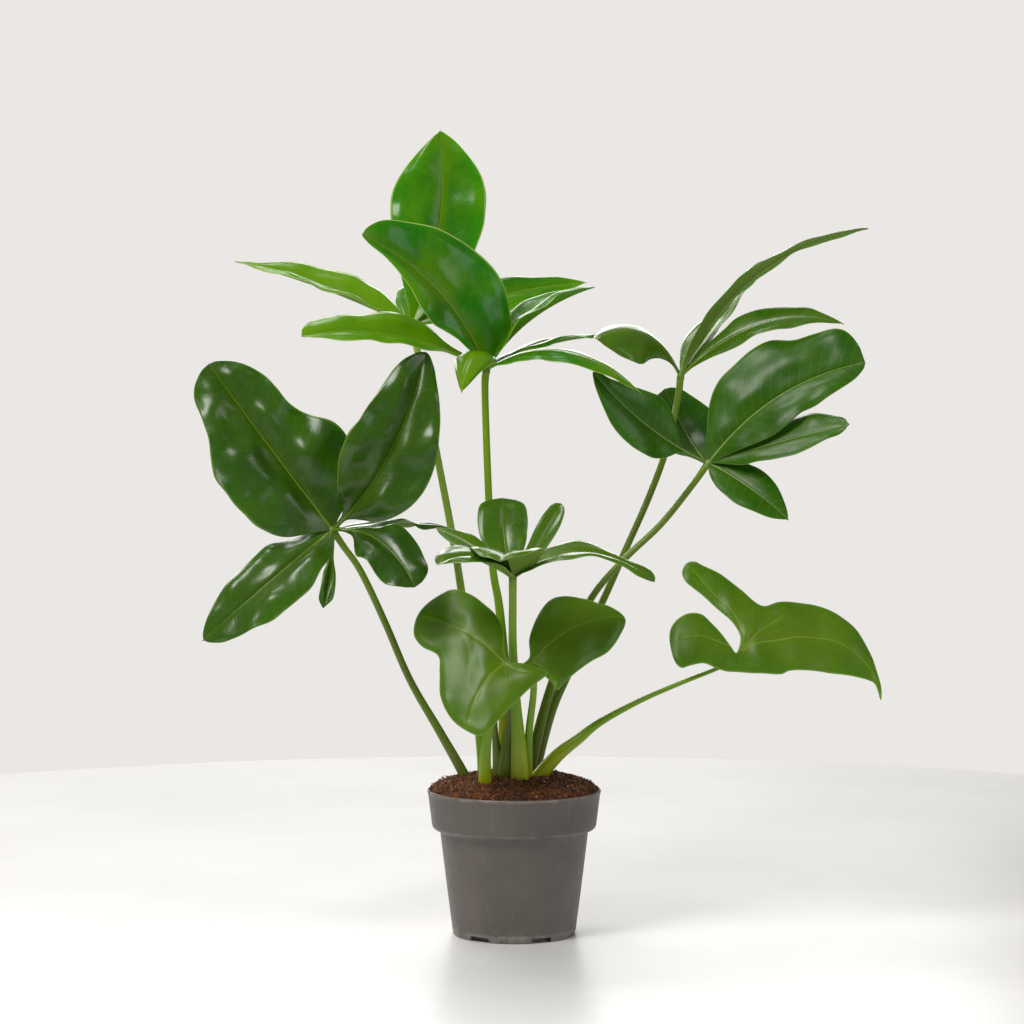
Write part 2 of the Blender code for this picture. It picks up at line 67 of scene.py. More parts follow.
def maths(tree, operation, *values):
    """The output of one sum on numbers or outputs."""
    return add_node(tree, "ShaderNodeMath", dict(enumerate(values)), operation=operation).outputs[0]


def vector_maths(tree, operation, *values):
    """The output of one sum on vectors or outputs."""
    return add_node(tree, "ShaderNodeVectorMath", dict(enumerate(values)), operation=operation).outputs[0]


def ramp(tree, value, low, high, start=0, end=1):
    """A smooth step of the value: start below low, end above high."""
    inputs = {"Value": value, "From Min": low, "From Max": high, "To Min": start, "To Max": end}
    return add_node(tree, "ShaderNodeMapRange", inputs, interpolation_type="SMOOTHSTEP").outputs["Result"]


def blend_colour(tree, amount, first, second):
    """The first colour turning into the second as the amount goes from 0 to 1."""
    first, second = ((*colour, 1) if isinstance(colour, tuple) else colour for colour in (first, second))
    return add_node(tree, "ShaderNodeMix", {0: amount, 6: first, 7: second}, data_type="RGBA").outputs[2]


def parts_of(tree, vector):
    """The X, Y and Z outputs of a vector."""
    return add_node(tree, "ShaderNodeSeparateXYZ", {0: vector}).outputs


def tinted(tree, colour, amount, share, tint):
    """The colour turned towards the tint by a share of the amount."""
    return blend_colour(tree, maths(tree, "MULTIPLY", amount, share), colour, tint)


def grain(tree, place, scale, detail=3, roughness=0.55):
    """Noise at a place, with its scale in lumps per metre."""
    inputs = {"Vector": place, "Scale": scale, "Detail": detail, "Roughness": roughness}
    return add_node(tree, "ShaderNodeTexNoise", inputs).outputs[0]


def new_finish(name):
    """An empty material with its shader, and the object's own coordinates."""
    finish = bpy.data.materials.new(name)
    finish.use_nodes = True
    tree = finish.node_tree
    place = add_node(tree, "ShaderNodeTexCoord").outputs["Object"]
    return finish, tree, tree.nodes["Principled BSDF"], place


def join_up(tree, shader, **sockets):
    """Joins outputs to the shader's sockets, named with _ for a space."""
    for name, output in sockets.items():
        tree.links.new(output, shader.inputs[name.replace("_", " ")])


def set_values(shader, **values):
    """Sets the shader's own sockets, named with _ for a space."""
    for name, value in values.items():
        shader.inputs[name.replace("_", " ")].default_value = value


def bump(tree, height, strength, depth):
    """A bump from a height between 0 and 1 that stands for a depth in metres."""
    inputs = {"Height": height, "Strength": strength, "Distance": depth}
    return add_node(tree, "ShaderNodeBump", inputs).outputs[0]


def new_object(name, points, faces, finish, smooth=True):
    """An object from points in metres, in the frame's own place."""
    mesh = bpy.data.meshes.new(name)
    mesh.from_pydata([tuple(p) for p in points], [], faces)
    mesh.materials.append(finish)
    if smooth:
        mesh.shade_smooth()
    thing = bpy.data.objects.new(name, mesh)
    bpy.context.scene.collection.objects.link(thing)
    return thing


def lathe(profile, steps):
    """Points and faces of a closed profile turned round Z, from axis to axis, outside first."""
    points = [(0, 0, profile[0][1])]
    for radius, height in profile[1:-1]:
        for step in range(steps):
            turn = 2 * math.pi * step / steps
            points.append((radius * math.cos(turn), radius * math.sin(turn), height))
    points.append((0, 0, profile[-1][1]))
    last = len(points) - 1
    top = last - steps
    faces = []
    for step in range(steps):
        after = (step + 1) % steps
        faces.append((0, 1 + after, 1 + step))
        for low in range(1, top, steps):
            high = low + steps
            faces.append((low + step, low + after, high + after, high + step))
        faces.append((top + step, top + after, last))
    return points, faces


def table_finish():
    """Pale honed stone with very faint clouds."""
    finish, tree, shader, place = new_finish("pale_table")
    cloud = ramp(tree, grain(tree, place, 4, 6, 0.6), 0.35, 0.7)
    join_up(tree, shader, Base_Color=blend_colour(tree, cloud, (0.86, 0.86, 0.86), (0.8, 0.8, 0.8)))
    set_values(shader, Roughness=0.3)
    return finish


table_outline = [(0, -TABLE_THICKNESS), (TABLE_RADIUS, -TABLE_THICKNESS), (TABLE_RADIUS, 0), (0, 0)]
table_top = new_object("table_top", *lathe(table_outline, TABLE_STEPS), table_finish(), smooth=False)

room_air = bpy.data.worlds.new("room_air")
bpy.context.scene.world = room_air
room_air.use_nodes = True
air = room_air.node_tree
seen = add_node(air, "ShaderNodeLightPath").outputs["Is Camera Ray"]
wall = air.nodes["Background"].inputs
wall["Color"].default_value = WALL_COLOUR
air.links.new(ramp(air, seen, 0, 1, WALL_LIGHT, WALL_SEEN), wall["Strength"])


def soft_light(name, spot, size, power, colour):
    """A rectangular soft light at a spot, turned towards the plant."""
    lamp = bpy.data.lights.new(name, "AREA")
    lamp.shape = "RECTANGLE"
    lamp.size, lamp.size_y = size
    lamp.energy = power
    lamp.color = colour
    thing = bpy.data.objects.new(name, lamp)
    thing.location = spot
    thing.rotation_euler = (Vector(LIGHT_AIM) - Vector(spot)).to_track_quat("-Z", "Y").to_euler()
    thing.visible_camera = False
    bpy.context.scene.collection.objects.link(thing)


soft_light("window_light", (-0.85, -0.95, 1.6), (0.6, 0.85), 26, (1, 0.98, 0.94))
soft_light("back_light", (-0.35, 1.7, 1.0), (2.2, 0.8), 26, (1, 0.98, 0.95))
soft_light("top_light", (-0.5, 0.5, 1.9), (0.6, 0.6), 9, (1, 0.98, 0.95))
soft_light("side_fill", (1.5, -0.9, 0.8), (0.9, 0.9), 6, (0.97, 0.98, 1))

camera_data = bpy.data.cameras.new("front_camera")
camera_data.lens = CAMERA_LENS
camera = bpy.data.objects.new("front_camera", camera_data)
camera.location = CAMERA_SPOT
camera.rotation_euler = (math.radians(90 - CAMERA_DIP), 0, 0)
bpy.context.scene.collection.objects.link(camera)
bpy.context.scene.camera = camera
bpy.context.scene.view_settings.view_transform = "Standard"


# ---- the nursery pot ----
# A thin-walled pot, injection moulded in grey recycled polypropylene: a deep rim band that
# overhangs the tapered body, a foot bead, and six drainage slots through the corner of the floor.

MM = 0.001
POT_STEPS = 216
POT_PROFILE = [
    (0, 0.9), (31, 0.9), (35.4, 0.8), (36.1, 0.2), (36.6, 0), (41.2, 0), (41.9, 0.15), (42.4, 0.6),
    (42.6, 1.3), (43.05, 4.2), (42.98, 4.7), (42.9, 4.95), (43.1, 6), (46.2, 30), (48.8, 51), (50.6, 66),
    (51.1, 70.4), (51.5, 71.6), (52.3, 72.4), (53.6, 72.8), (55.2, 73.2), (56.1, 73.9), (56.6, 74.9),
    (56.8, 76), (57.6, 82), (58.9, 92.5), (59.45, 97), (59.75, 97.6), (59.95, 98.3), (59.95, 99),
    (59.75, 99.6), (59.3, 100), (58.9, 99.95), (58.6, 99.6), (58.45, 99), (58.2, 97), (55.2, 75.6),
    (54.6, 74.6), (50.4, 73.2), (49.8, 72), (41.4, 3.6), (40.6, 2.6), (39.4, 2.3), (0, 2.3)]
SLOT_COUNT, SLOT_START, SLOT_WIDTH, SLOT_HEIGHT = 6, -124, 15, 3.4
SLOT_NEAR, SLOT_FAR, SLOT_ROUND = 37.5, 48.5, 1.1
RUBBED_EDGES = (59.9, 98.8), (56.3, 74.2), (42.3, 0.4), (43, 4.5)
RUB_WIDTH = 1.1


def map_value(tree, name, output="Fac"):
    """A value that the piece's own points carry under a name."""
    return add_node(tree, "ShaderNodeAttribute", attribute_name=name).outputs[output]


def pot_finish():
    """Grey recycled plastic: faint clouds, fine grain, rub marks on edges, soil dust under the rim, and
    painted shade that darkens the rim band.
    """
    finish, tree, shader, place = new_finish("pot_plastic")
    height = parts_of(tree, place)["Z"]
    cloud = ramp(tree, grain(tree, place, 22, 4), 0.35, 0.68)
    colour = blend_colour(tree, cloud, (0.106, 0.091, 0.082), (0.132, 0.113, 0.1))
    # Painted shade: the whole rim band, from 72 mm up, is darkened against the body.
    rim_band_painted_shade = ramp(tree, height, 0.072, 0.076)
    colour = tinted(tree, colour, rim_band_painted_shade, 0.3, (0.06, 0.052, 0.047))
    speck = ramp(tree, grain(tree, place, 1400, 2), 0.62, 0.78)
    colour = tinted(tree, colour, speck, 0.35, (0.19, 0.17, 0.155))
    drawn = vector_maths(tree, "MULTIPLY", place, (260, 260, 16))
    streak = ramp(tree, grain(tree, drawn, 1, 3), 0.55, 0.75)
    colour = tinted(tree, colour, streak, 0.16, (0.22, 0.2, 0.185))
    near_lip, dried = ramp(tree, height, 0.0972, 0.0995), ramp(tree, grain(tree, place, 240), 0.38, 0.6)
    lip = maths(tree, "MULTIPLY", near_lip, dried)
    near_foot, scuffed = ramp(tree, height, 0.012, 0.0), ramp(tree, grain(tree, place, 160), 0.42, 0.65)
    foot = maths(tree, "MULTIPLY", near_foot, scuffed)
    colour = tinted(tree, colour, lip, 0.5, (0.23, 0.16, 0.115))
    colour = tinted(tree, colour, foot, 0.45, (0.28, 0.25, 0.22))
    worn = ramp(tree, grain(tree, place, 90, 4), 0.35, 0.62)
    rub = maths(tree, "MULTIPLY", map_value(tree, "edge_rub"), worn)
    colour = tinted(tree, colour, rub, 0.55, (0.31, 0.29, 0.27))
    satin = maths(tree, "MULTIPLY_ADD", grain(tree, place, 130, 4), 0.3, 0.33)
    satin = maths(tree, "SUBTRACT", satin, maths(tree, "MULTIPLY", rub, 0.12))
    skin = maths(tree, "MULTIPLY_ADD", grain(tree, place, 90, 3), 0.5, grain(tree, place, 1700, 2))
    join_up(tree, shader, Base_Color=colour, Roughness=satin, Normal=bump(tree, skin, 0.2, 0.0005))
    set_values(shader, Specular_IOR_Level=0.5)
    return finish


def slot_cutter(index, finish):
    """A box with rounded upright edges that opens one slot through the corner of floor and wall."""
    turn = math.radians(SLOT_START + 360 * index / SLOT_COUNT)
    out, side = Vector((math.cos(turn), math.sin(turn), 0)), Vector((-math.sin(turn), math.cos(turn), 0))
    half = SLOT_WIDTH / 2
    corners = (SLOT_NEAR, -half), (SLOT_FAR, -half), (SLOT_FAR, half), (SLOT_NEAR, half)
    points = [(out * a + side * b + Vector((0, 0, z))) * MM for z in (-2, SLOT_HEIGHT) for a, b in corners]
    faces = [(3, 2, 1, 0), (4, 5, 6, 7), (0, 1, 5, 4), (1, 2, 6, 5), (2, 3, 7, 6), (3, 0, 4, 7)]
    cutter = new_object(f"slot_cutter_{index}", points, faces, finish)
    shape = bmesh.new()
    shape.from_mesh(cutter.data)
    lower = [edge for edge in shape.edges if all(vert.co.z < 0 for vert in edge.verts)]
    rest = [edge for edge in shape.edges if edge not in lower]
    bmesh.ops.bevel(shape, geom=rest, offset=SLOT_ROUND * MM, segments=3, profile=0.5, affect="EDGES")
    shape.to_mesh(cutter.data)
    shape.free()
    return cutter


def cut(target, cutter):
    """Cuts another closed solid out of the target and removes the cutter."""
    step = target.modifiers.new("cut", "BOOLEAN")
    step.operation, step.solver, step.object = "DIFFERENCE", "EXACT", cutter
    keep_result(target)
    bpy.data.objects.remove(cutter)


def keep_result(thing):
    """Makes what the thing's modifiers give its own plain mesh, and removes them."""
    graph = bpy.context.evaluated_depsgraph_get()
    shown = thing.evaluated_get(graph)
    mesh = bpy.data.meshes.new_from_object(shown, preserve_all_data_layers=True, depsgraph=graph)
    thing.modifiers.clear()
    thing.data = mesh


def nursery_pot():
    """The pot with its slots, and how far each point is from a rubbed edge."""
    finish = pot_finish()
    points, faces = lathe([(r * MM, z * MM) for r, z in POT_PROFILE], POT_STEPS)
    pot = new_object("grey_nursery_pot", points, faces, finish)
    for index in range(SLOT_COUNT):
        cut(pot, slot_cutter(index, finish))
    shape = bmesh.new()
    shape.from_mesh(pot.data)
    bmesh.ops.remove_doubles(shape, verts=shape.verts, dist=0.02 * MM)
    bmesh.ops.holes_fill(shape, edges=shape.edges, sides=6)
    shape.to_mesh(pot.data)
    shape.free()
    pot.data.set_sharp_from_angle(angle=math.radians(38))
    rubbed = pot.data.attributes.new("edge_rub", "FLOAT", "POINT")
    for point, value in zip(pot.data.vertices, rubbed.data):
        radius, height = math.hypot(point.co.x, point.co.y) / MM, point.co.z / MM
        near = min(math.dist((radius, height), edge) for edge in RUBBED_EDGES)
        value.value = max(0, 1 - near / RUB_WIDTH)
    return pot


pot = nursery_pot()
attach(pot, "root")
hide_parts("nursery_pot")


# ---- the potting mix ----
# Damp red-brown coir and peat, heaped up a little towards the crown. The lumpy bed is one solid;
# loose crumbs and coir fibres lie all over it, and a few crumbs have dried onto the pot's rim.

FILL_RADIUS, FILL_EDGE, HEAP_HEIGHT = 58.0, 98, 13
BED_RINGS, BED_STEPS = 72, 200
CRUMB_COUNT, CRUMB_SIZE, CRUMB_BREAK = 2600, 0.95, 1.4
FIBRE_COUNT, FIBRE_LENGTH, FIBRE_THICKNESS = 420, 7.5, 0.16
RIM_CRUMB_COUNT, RIM_CRUMB_SIZE, RIM_CRUMB_RISE = 150, 0.6, 1.6
RIM_CRUMB_BAND = 57.2, 59.3


def mix_height(x, y):
    """Height in mm of the bed's surface at a place in mm from the pot's axis."""
    share = min(math.hypot(x, y) / FILL_RADIUS, 1)
    lump = math.sin(x * 0.17 + 1.3) * math.cos(y * 0.21) + math.sin(x * 0.39 - y * 0.33)
    clod = math.sin(x * 0.83 + y * 0.41 + 2) * math.sin(y * 0.77 - x * 0.3)
    clod += 0.6 * math.sin(x * 1.7) * math.sin(y * 1.9 + 1)
    grit = math.sin(x * 3.1 + 4 * math.sin(y * 0.9)) * math.sin(y * 2.9 + 3 * math.sin(x * 1.1))
    return FILL_EDGE + HEAP_HEIGHT * math.sqrt(1 - share**2) + 0.55 * lump + 0.55 * clod + 0.28 * grit


def mix_finish():
    """Damp coir: dark red-brown in the hollows, rusty and straw-coloured on the dry tips."""
    finish, tree, shader, place = new_finish("coir_mix")
    patch = ramp(tree, grain(tree, place, 130, 5, 0.65), 0.38, 0.64)
    colour = blend_colour(tree, patch, (0.034, 0.0105, 0.0035), (0.15, 0.048, 0.015))
    rust = ramp(tree, grain(tree, place, 520, 3), 0.52, 0.68)
    colour = tinted(tree, colour, rust, 0.7, (0.29, 0.098, 0.03))
    tone = map_value(tree, "crumb_tone")
    colour = blend_colour(tree, ramp(tree, tone, 0.55, 0.95, 0, 0.75), colour, (0.21, 0.085, 0.035))
    colour = blend_colour(tree, ramp(tree, tone, 0.955, 0.975, 0, 0.85), colour, (0.55, 0.36, 0.2))
    rough = maths(tree, "MULTIPLY_ADD", patch, 0.25, 0.68)
    lumps = maths(tree, "MULTIPLY_ADD", grain(tree, place, 1500, 3), 0.6, grain(tree, place, 500, 3))
    join_up(tree, shader, Base_Color=colour, Roughness=rough, Normal=bump(tree, lumps, 0.7, 0.0008))
    set_values(shader, Specular_IOR_Level=0.3)
    return finish


def mix_bed(finish):
    """The bed from the pot's floor up, its top a fine polar grid of lumps."""
    profile = [(0, 2.5), (38.8, 2.5), (40.9, 4.4), (49.2, 71.6), (50, 74.2), (54.6, 75.2)]
    profile += [(FILL_RADIUS * (1 - ring / BED_RINGS), FILL_EDGE) for ring in range(BED_RINGS)]
    profile.append((0, FILL_EDGE))
    points, faces = lathe(profile, BED_STEPS)
    raised = [(x * MM, y * MM, (mix_height(x, y) if z == FILL_EDGE else z) * MM) for x, y, z in points]
    return new_object("potting_mix_bed", raised, faces, finish)


def group_tree(name, sizes):
    """An empty Geometry Nodes group that takes a mesh and the named sizes, and its two end nodes."""
    tree = bpy.data.node_groups.new(name, "GeometryNodeTree")
    tree.interface.new_socket("Mesh", in_out="INPUT", socket_type="NodeSocketGeometry")
    for size, value in sizes.items():
        kind = {int: "NodeSocketInt", float: "NodeSocketFloat"}.get(type(value), "NodeSocketMaterial")
        tree.interface.new_socket(size, in_out="INPUT", socket_type=kind)
    tree.interface.new_socket("Mesh", in_out="OUTPUT", socket_type="NodeSocketGeometry")
    return tree, add_node(tree, "NodeGroupInput").outputs, tree.nodes.new("NodeGroupOutput")


def shape_step(tree, kind, inputs=None, **settings):
    """The first output of one step that makes or changes geometry."""
    return add_node(tree, "GeometryNode" + kind, inputs, **settings).outputs[0]


def grown(name, base, tree, sizes):
    """A new object: what the tree makes of the base mesh with these sizes, as a plain mesh."""
    thing = bpy.data.objects.new(name, base)
    bpy.context.scene.collection.objects.link(thing)
    step = thing.modifiers.new("make", "NODES")
    step.node_group = tree
    for item in tree.interface.items_tree:
        if item.in_out == "INPUT" and item.name in sizes:
            step[item.identifier] = sizes[item.name]
    keep_result(thing)
    return thing


def store(tree, geometry, name, value, kind="FLOAT", domain="POINT"):
    """Keeps a value on the geometry as a named attribute."""
    inputs = {"Geometry": geometry, "Name": name, "Value": value}
    return shape_step(tree, "StoreNamedAttribute", inputs, data_type=kind, domain=domain)


def chance(tree, low, high, seed, kind="FLOAT"):
    """A random number, or a vector, between low and high for each point."""
    first = {"FLOAT": 2, "FLOAT_VECTOR": 0}[kind]
    inputs = {first: low, first + 1: high, "Seed": seed}
    node = add_node(tree, "FunctionNodeRandomValue", inputs, data_type=kind)
    return node.outputs[0 if kind == "FLOAT_VECTOR" else 1]


def finish_tree(tree, geometry, finish, end):
    """Ends a tree: real faces, one material."""
    real = shape_step(tree, "RealizeInstances", {"Geometry": geometry})
    tree.links.new(shape_step(tree, "SetMaterial", {"Geometry": real, "Material": finish}), end.inputs[0])


CRUMB_SIZES = {"Density": 1.0, "Size": 1.0, "Seed": 1, "Finish": None}
crumb_tree, given, end = group_tree("scattered_crumbs", CRUMB_SIZES)
spread = shape_step(crumb_tree, "DistributePointsOnFaces",
                    {"Mesh": given["Mesh"], "Density": given["Density"], "Seed": given["Seed"]})
crumb = shape_step(crumb_tree, "MeshUVSphere", {"Segments": 6, "Rings": 4, "Radius": given["Size"]})
stretch = chance(crumb_tree, (0.35, 0.35, 0.25), (1.5, 1.1, 0.8), 3, "FLOAT_VECTOR")
turned = chance(crumb_tree, (0, 0, 0), (6.28, 6.28, 6.28), 5, "FLOAT_VECTOR")
placed = shape_step(crumb_tree, "InstanceOnPoints",
                    {"Points": spread, "Instance": crumb, "Rotation": turned, "Scale": stretch})
toned = store(crumb_tree, placed, "crumb_tone", chance(crumb_tree, 0.0, 1.0, 7), domain="INSTANCE")
real = shape_step(crumb_tree, "RealizeInstances", {"Geometry": toned})
rough_noise = add_node(crumb_tree, "ShaderNodeTexNoise", {"Scale": 900, "Detail": 1}).outputs["Color"]
shift = vector_maths(crumb_tree, "SUBTRACT", rough_noise, (0.5, 0.5, 0.5))
shift = add_node(crumb_tree, "ShaderNodeVectorMath", {0: shift, "Scale": CRUMB_BREAK * MM}, operation="SCALE")
broken = shape_step(crumb_tree, "SetPosition", {"Geometry": real, "Offset": shift.outputs[0]})
finish_tree(crumb_tree, broken, given["Finish"], end)

FIBRE_SIZES = {"Density": 1.0, "Length": 1.0, "Thickness": 1.0, "Seed": 1, "Finish": None}
fibre_tree, given, end = group_tree("coir_fibres", FIBRE_SIZES)
spread = add_node(fibre_tree, "GeometryNodeDistributePointsOnFaces",
                  {"Mesh": given["Mesh"], "Density": given["Density"], "Seed": given["Seed"]})
hair = shape_step(fibre_tree, "CurveQuadraticBezier",
                  {"Resolution": 6, "Start": (-0.5, 0, 0), "Middle": (0, 0.25, 0.22), "End": (0.5, 0, 0.02)})
length = add_node(fibre_tree, "ShaderNodeCombineXYZ", {axis: given["Length"] for axis in range(3)})
sized = shape_step(fibre_tree, "Transform", {"Geometry": hair, "Scale": length.outputs[0]})
ring = shape_step(fibre_tree, "CurvePrimitiveCircle", {"Resolution": 4, "Radius": given["Thickness"]})
strand = shape_step(fibre_tree, "CurveToMesh", {"Curve": sized, "Profile Curve": ring, "Fill Caps": True})
stretch = chance(fibre_tree, 0.3, 1.3, 11)
sway = chance(fibre_tree, (-0.35, -0.25, 0), (0.35, 0.25, 6.28), 13, "FLOAT_VECTOR")
level = add_node(fibre_tree, "FunctionNodeRotateRotation",
                 {"Rotation": spread.outputs["Rotation"], "Rotate By": sway}, rotation_space="LOCAL")
placed = shape_step(fibre_tree, "InstanceOnPoints",
                    {"Points": spread.outputs[0], "Instance": strand, "Rotation": level.outputs[0],
                     "Scale": stretch})
straw = chance(fibre_tree, 0.45, 0.965, 17)
toned = store(fibre_tree, placed, "crumb_tone", straw, domain="INSTANCE")
finish_tree(fibre_tree, toned, given["Finish"], end)


def heap_patch(name, inner, outer):
    """The bed's surface between two radii in mm, as a bare sheet for scattering on."""
    rings, steps = 24, 96
    points, faces = [], []
    for ring in range(rings + 1):
        radius = inner + (outer - inner) * ring / rings
        for step in range(steps):
            turn = 2 * math.pi * step / steps
            x, y = radius * math.cos(turn), radius * math.sin(turn)
            points.append((x * MM, y * MM, (mix_height(x, y) + 0.1) * MM))
    for ring in range(rings):
        for step in range(steps):
            low, after = ring * steps, (step + 1) % steps
            faces.append((low + step, low + steps + step, low + steps + after, low + after))
    sheet = bpy.data.meshes.new(name)
    sheet.from_pydata(points, [], faces)
    return sheet


mix_look = mix_finish()
bed = mix_bed(mix_look)
heap_area = math.pi * (FILL_RADIUS * MM) ** 2
heap = heap_patch("heap_surface", 0.5, FILL_RADIUS - 0.8)
crumbs = grown("mix_crumbs", heap, crumb_tree,
               {"Density": CRUMB_COUNT / heap_area, "Size": CRUMB_SIZE * MM, "Seed": 4, "Finish": mix_look})
fibres = grown("coir_fibre_strands", heap, fibre_tree,
               {"Density": FIBRE_COUNT / heap_area, "Length": FIBRE_LENGTH * MM,
                "Thickness": FIBRE_THICKNESS * MM, "Seed": 9, "Finish": mix_look})
rim_area = math.pi * (RIM_CRUMB_BAND[1] ** 2 - RIM_CRUMB_BAND[0] ** 2) * MM**2
rim_crumbs = grown("rim_crumbs", heap_patch("rim_band", *RIM_CRUMB_BAND), crumb_tree,
                   {"Density": RIM_CRUMB_COUNT / rim_area, "Size": RIM_CRUMB_SIZE * MM, "Seed": 21,
                    "Finish": mix_look})
for point in rim_crumbs.data.vertices:
    point.co.z += RIM_CRUMB_RISE * MM
for piece in (bed, crumbs, fibres, rim_crumbs):
    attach(piece, "root")
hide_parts("potting_mix")


# ---- the leaf stalks ----
# Nine round, fleshy stalks rising from one crown buried in the mix. Each is smooth and finely
# ribbed along its length, thicker and yellower at the foot, and swells a little below its blade.
# Two old sheaths, left by leaves that have gone, stand between their feet.

RIM_HEIGHT = 100
STALK_SIDES, STALK_SPACING, STALK_GROOVE, BURIED = 20, 1.6, 0.55, 12
STALK_SWELL, STALK_SLIMMING = 0.08, 0.14


def stalk_finish(name, foot, middle, head_and_highlight, freckle):
    """Smooth green skin that turns from the foot's colour to the head's, with fine ribs along it. The paler
    head colour is partly the stalk's own and partly a painted highlight below the blade.
    """
    finish, tree, shader, place = new_finish(name)
    along, skin = map_value(tree, "stalk_share"), map_value(tree, "stalk_skin", "Vector")
    colour = blend_colour(tree, ramp(tree, along, 0.02, 0.4), foot, middle)
    # Partly painted highlight: the paler head colour near the blade also stands in for the lime highlight
    # there.
    colour = blend_colour(tree, ramp(tree, along, 0.6, 1), colour, head_and_highlight)
    ribs = ramp(tree, grain(tree, skin, 3.2, 3), 0.35, 0.7)
    colour = tinted(tree, colour, ribs, 0.3, head_and_highlight)
    cloud = ramp(tree, grain(tree, place, 60, 4), 0.4, 0.7)
    colour = tinted(tree, colour, cloud, 0.35, freckle)
    dots = ramp(tree, grain(tree, place, 900, 2), 0.64, 0.74)
    colour = tinted(tree, colour, dots, 0.12, freckle)
    gloss = maths(tree, "MULTIPLY_ADD", grain(tree, place, 200), 0.24, 0.24)
    relief = maths(tree, "MULTIPLY_ADD", grain(tree, place, 1200, 2), 0.08, grain(tree, skin, 5, 2))
    join_up(tree, shader, Base_Color=colour, Roughness=gloss, Normal=bump(tree, relief, 0.3, 0.0004))
    set_values(shader, Subsurface_Weight=0.25, Subsurface_Radius=(0.8, 1, 0.1), Subsurface_Scale=0.0018,
               Specular_IOR_Level=0.45)
    return finish


def named_value(tree, name, kind="FLOAT"):
    """A value that the geometry already carries under a name."""
    return shape_step(tree, "InputNamedAttribute", {"Name": name}, data_type=kind)


STALK_TREE_SIZES = {"Sides": 16, "Spacing": 1.0, "Groove": 0.1, "Finish": None}
stalk_tree, given, end = group_tree("fleshy_stalk", STALK_TREE_SIZES)
line = shape_step(stalk_tree, "MeshToCurve", {"Mesh": given["Mesh"]})
line = shape_step(stalk_tree, "ResampleCurve", {"Curve": line, "Length": given["Spacing"]}, mode="LENGTH")
girth = named_value(stalk_tree, "girth")
line = shape_step(stalk_tree, "SetCurveRadius", {"Curve": line, "Radius": girth})
place_on = add_node(stalk_tree, "GeometryNodeSplineParameter").outputs
line = store(stalk_tree, line, "stalk_share", place_on["Factor"])
line = store(stalk_tree, line, "stalk_run", place_on["Length"])
ring = shape_step(stalk_tree, "CurvePrimitiveCircle", {"Resolution": given["Sides"], "Radius": 1.0})
spot = shape_step(stalk_tree, "InputPosition")
ring = store(stalk_tree, ring, "stalk_ring", spot, "FLOAT_VECTOR")
dent = maths(stalk_tree, "MAXIMUM", maths(stalk_tree, "SUBTRACT", parts_of(stalk_tree, spot)["Y"], 0.7), 0.0)
drop = maths(stalk_tree, "MULTIPLY", maths(stalk_tree, "MULTIPLY", dent, given["Groove"]), -1.0)
push = add_node(stalk_tree, "ShaderNodeCombineXYZ", {1: drop}).outputs[0]
ring = shape_step(stalk_tree, "SetPosition", {"Geometry": ring, "Offset": push})
tube = shape_step(stalk_tree, "CurveToMesh",
                  {"Curve": line, "Profile Curve": ring, "Scale": girth, "Fill Caps": True})
around = named_value(stalk_tree, "stalk_ring", "FLOAT_VECTOR")
run = maths(stalk_tree, "MULTIPLY", named_value(stalk_tree, "stalk_run"), 12.0)
rise = add_node(stalk_tree, "ShaderNodeCombineXYZ", {2: run}).outputs[0]
tube = store(stalk_tree, tube, "stalk_skin", vector_maths(stalk_tree, "ADD", around, rise), "FLOAT_VECTOR")
tube = shape_step(stalk_tree, "SetShadeSmooth", {"Geometry": tube})
finish_tree(stalk_tree, tube, given["Finish"], end)


def curve_through(knots, steps_each):
    """Catmull-Rom points from the second knot to the last but one, which is left off."""
    out = []
    for a, b, c, d in zip(knots, knots[1:], knots[2:], knots[3:]):
        for step in range(steps_each):
            t = step / steps_each
            bend = (2 * a - 5 * b + 4 * c - d) * t * t + (3 * b - 3 * c + d - a) * t**3
            out.append(0.5 * (2 * b + (c - a) * t + bend))
    return out


def smooth_path(path, steps_each):
    """A smooth curve through the path, which holds (x, y, z, radius) in mm from the rim's centre."""
    knots = [Vector(p) for p in path]
    ahead, beyond = 2 * knots[0] - knots[1], 2 * knots[-1] - knots[-2]
    return curve_through([ahead, *knots, beyond], steps_each) + [knots[-1]]


def smooth_step(value, low, high):
    """0 below low, 1 above high, and a smooth rise between."""
    share = np.clip((value - low) / (high - low), 0, 1)
    return share * share * (3 - 2 * share)


def grown_stalk(name, hub, path, finish):
    """A stalk from inside the mix, along the path, up to the hub."""
    foot, above = Vector(path[0][:3]), Vector(path[1][:3])
    rise = (above - foot).normalized()
    buried = foot - Vector((rise.x * 0.3, rise.y * 0.3, 1)).normalized() * BURIED
    line = smooth_path([(*buried, path[0][3] * 0.95), *path, (*hub, path[-1][3])], 10)
    length = sum((b.xyz - a.xyz).length for a, b in zip(line, line[1:]))
    mesh = bpy.data.meshes.new(name)
    spots = [(p.x * MM, p.y * MM, (p.z + RIM_HEIGHT) * MM) for p in line]
    mesh.from_pydata(spots, [(i, i + 1) for i in range(len(line) - 1)], [])
    girth = mesh.attributes.new("girth", "FLOAT", "POINT")
    run = 0
    for i, p in enumerate(line):
        run += (p.xyz - line[i - 1].xyz).length if i else 0
        swell = 1 + STALK_SWELL * math.exp(-(((length - run - 6) / 7) ** 2))
        slim = 1 - STALK_SLIMMING * float(smooth_step(run / length, 0.15, 0.5))
        girth.data[i].value = p.w * swell * slim * MM
    sizes = {"Sides": STALK_SIDES, "Spacing": STALK_SPACING * MM, "Groove": STALK_GROOVE, "Finish": finish}
    return grown(name, mesh, stalk_tree, sizes)


def leaf_stalk(leaf, hub, path, finish):
    """A stalk up into the leaf's knuckle, standing for its CAD node."""
    stalk = grown_stalk(f"{leaf}_petiole", hub, path, finish)
    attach(stalk, "root")
    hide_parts(f"{leaf}_stalk")
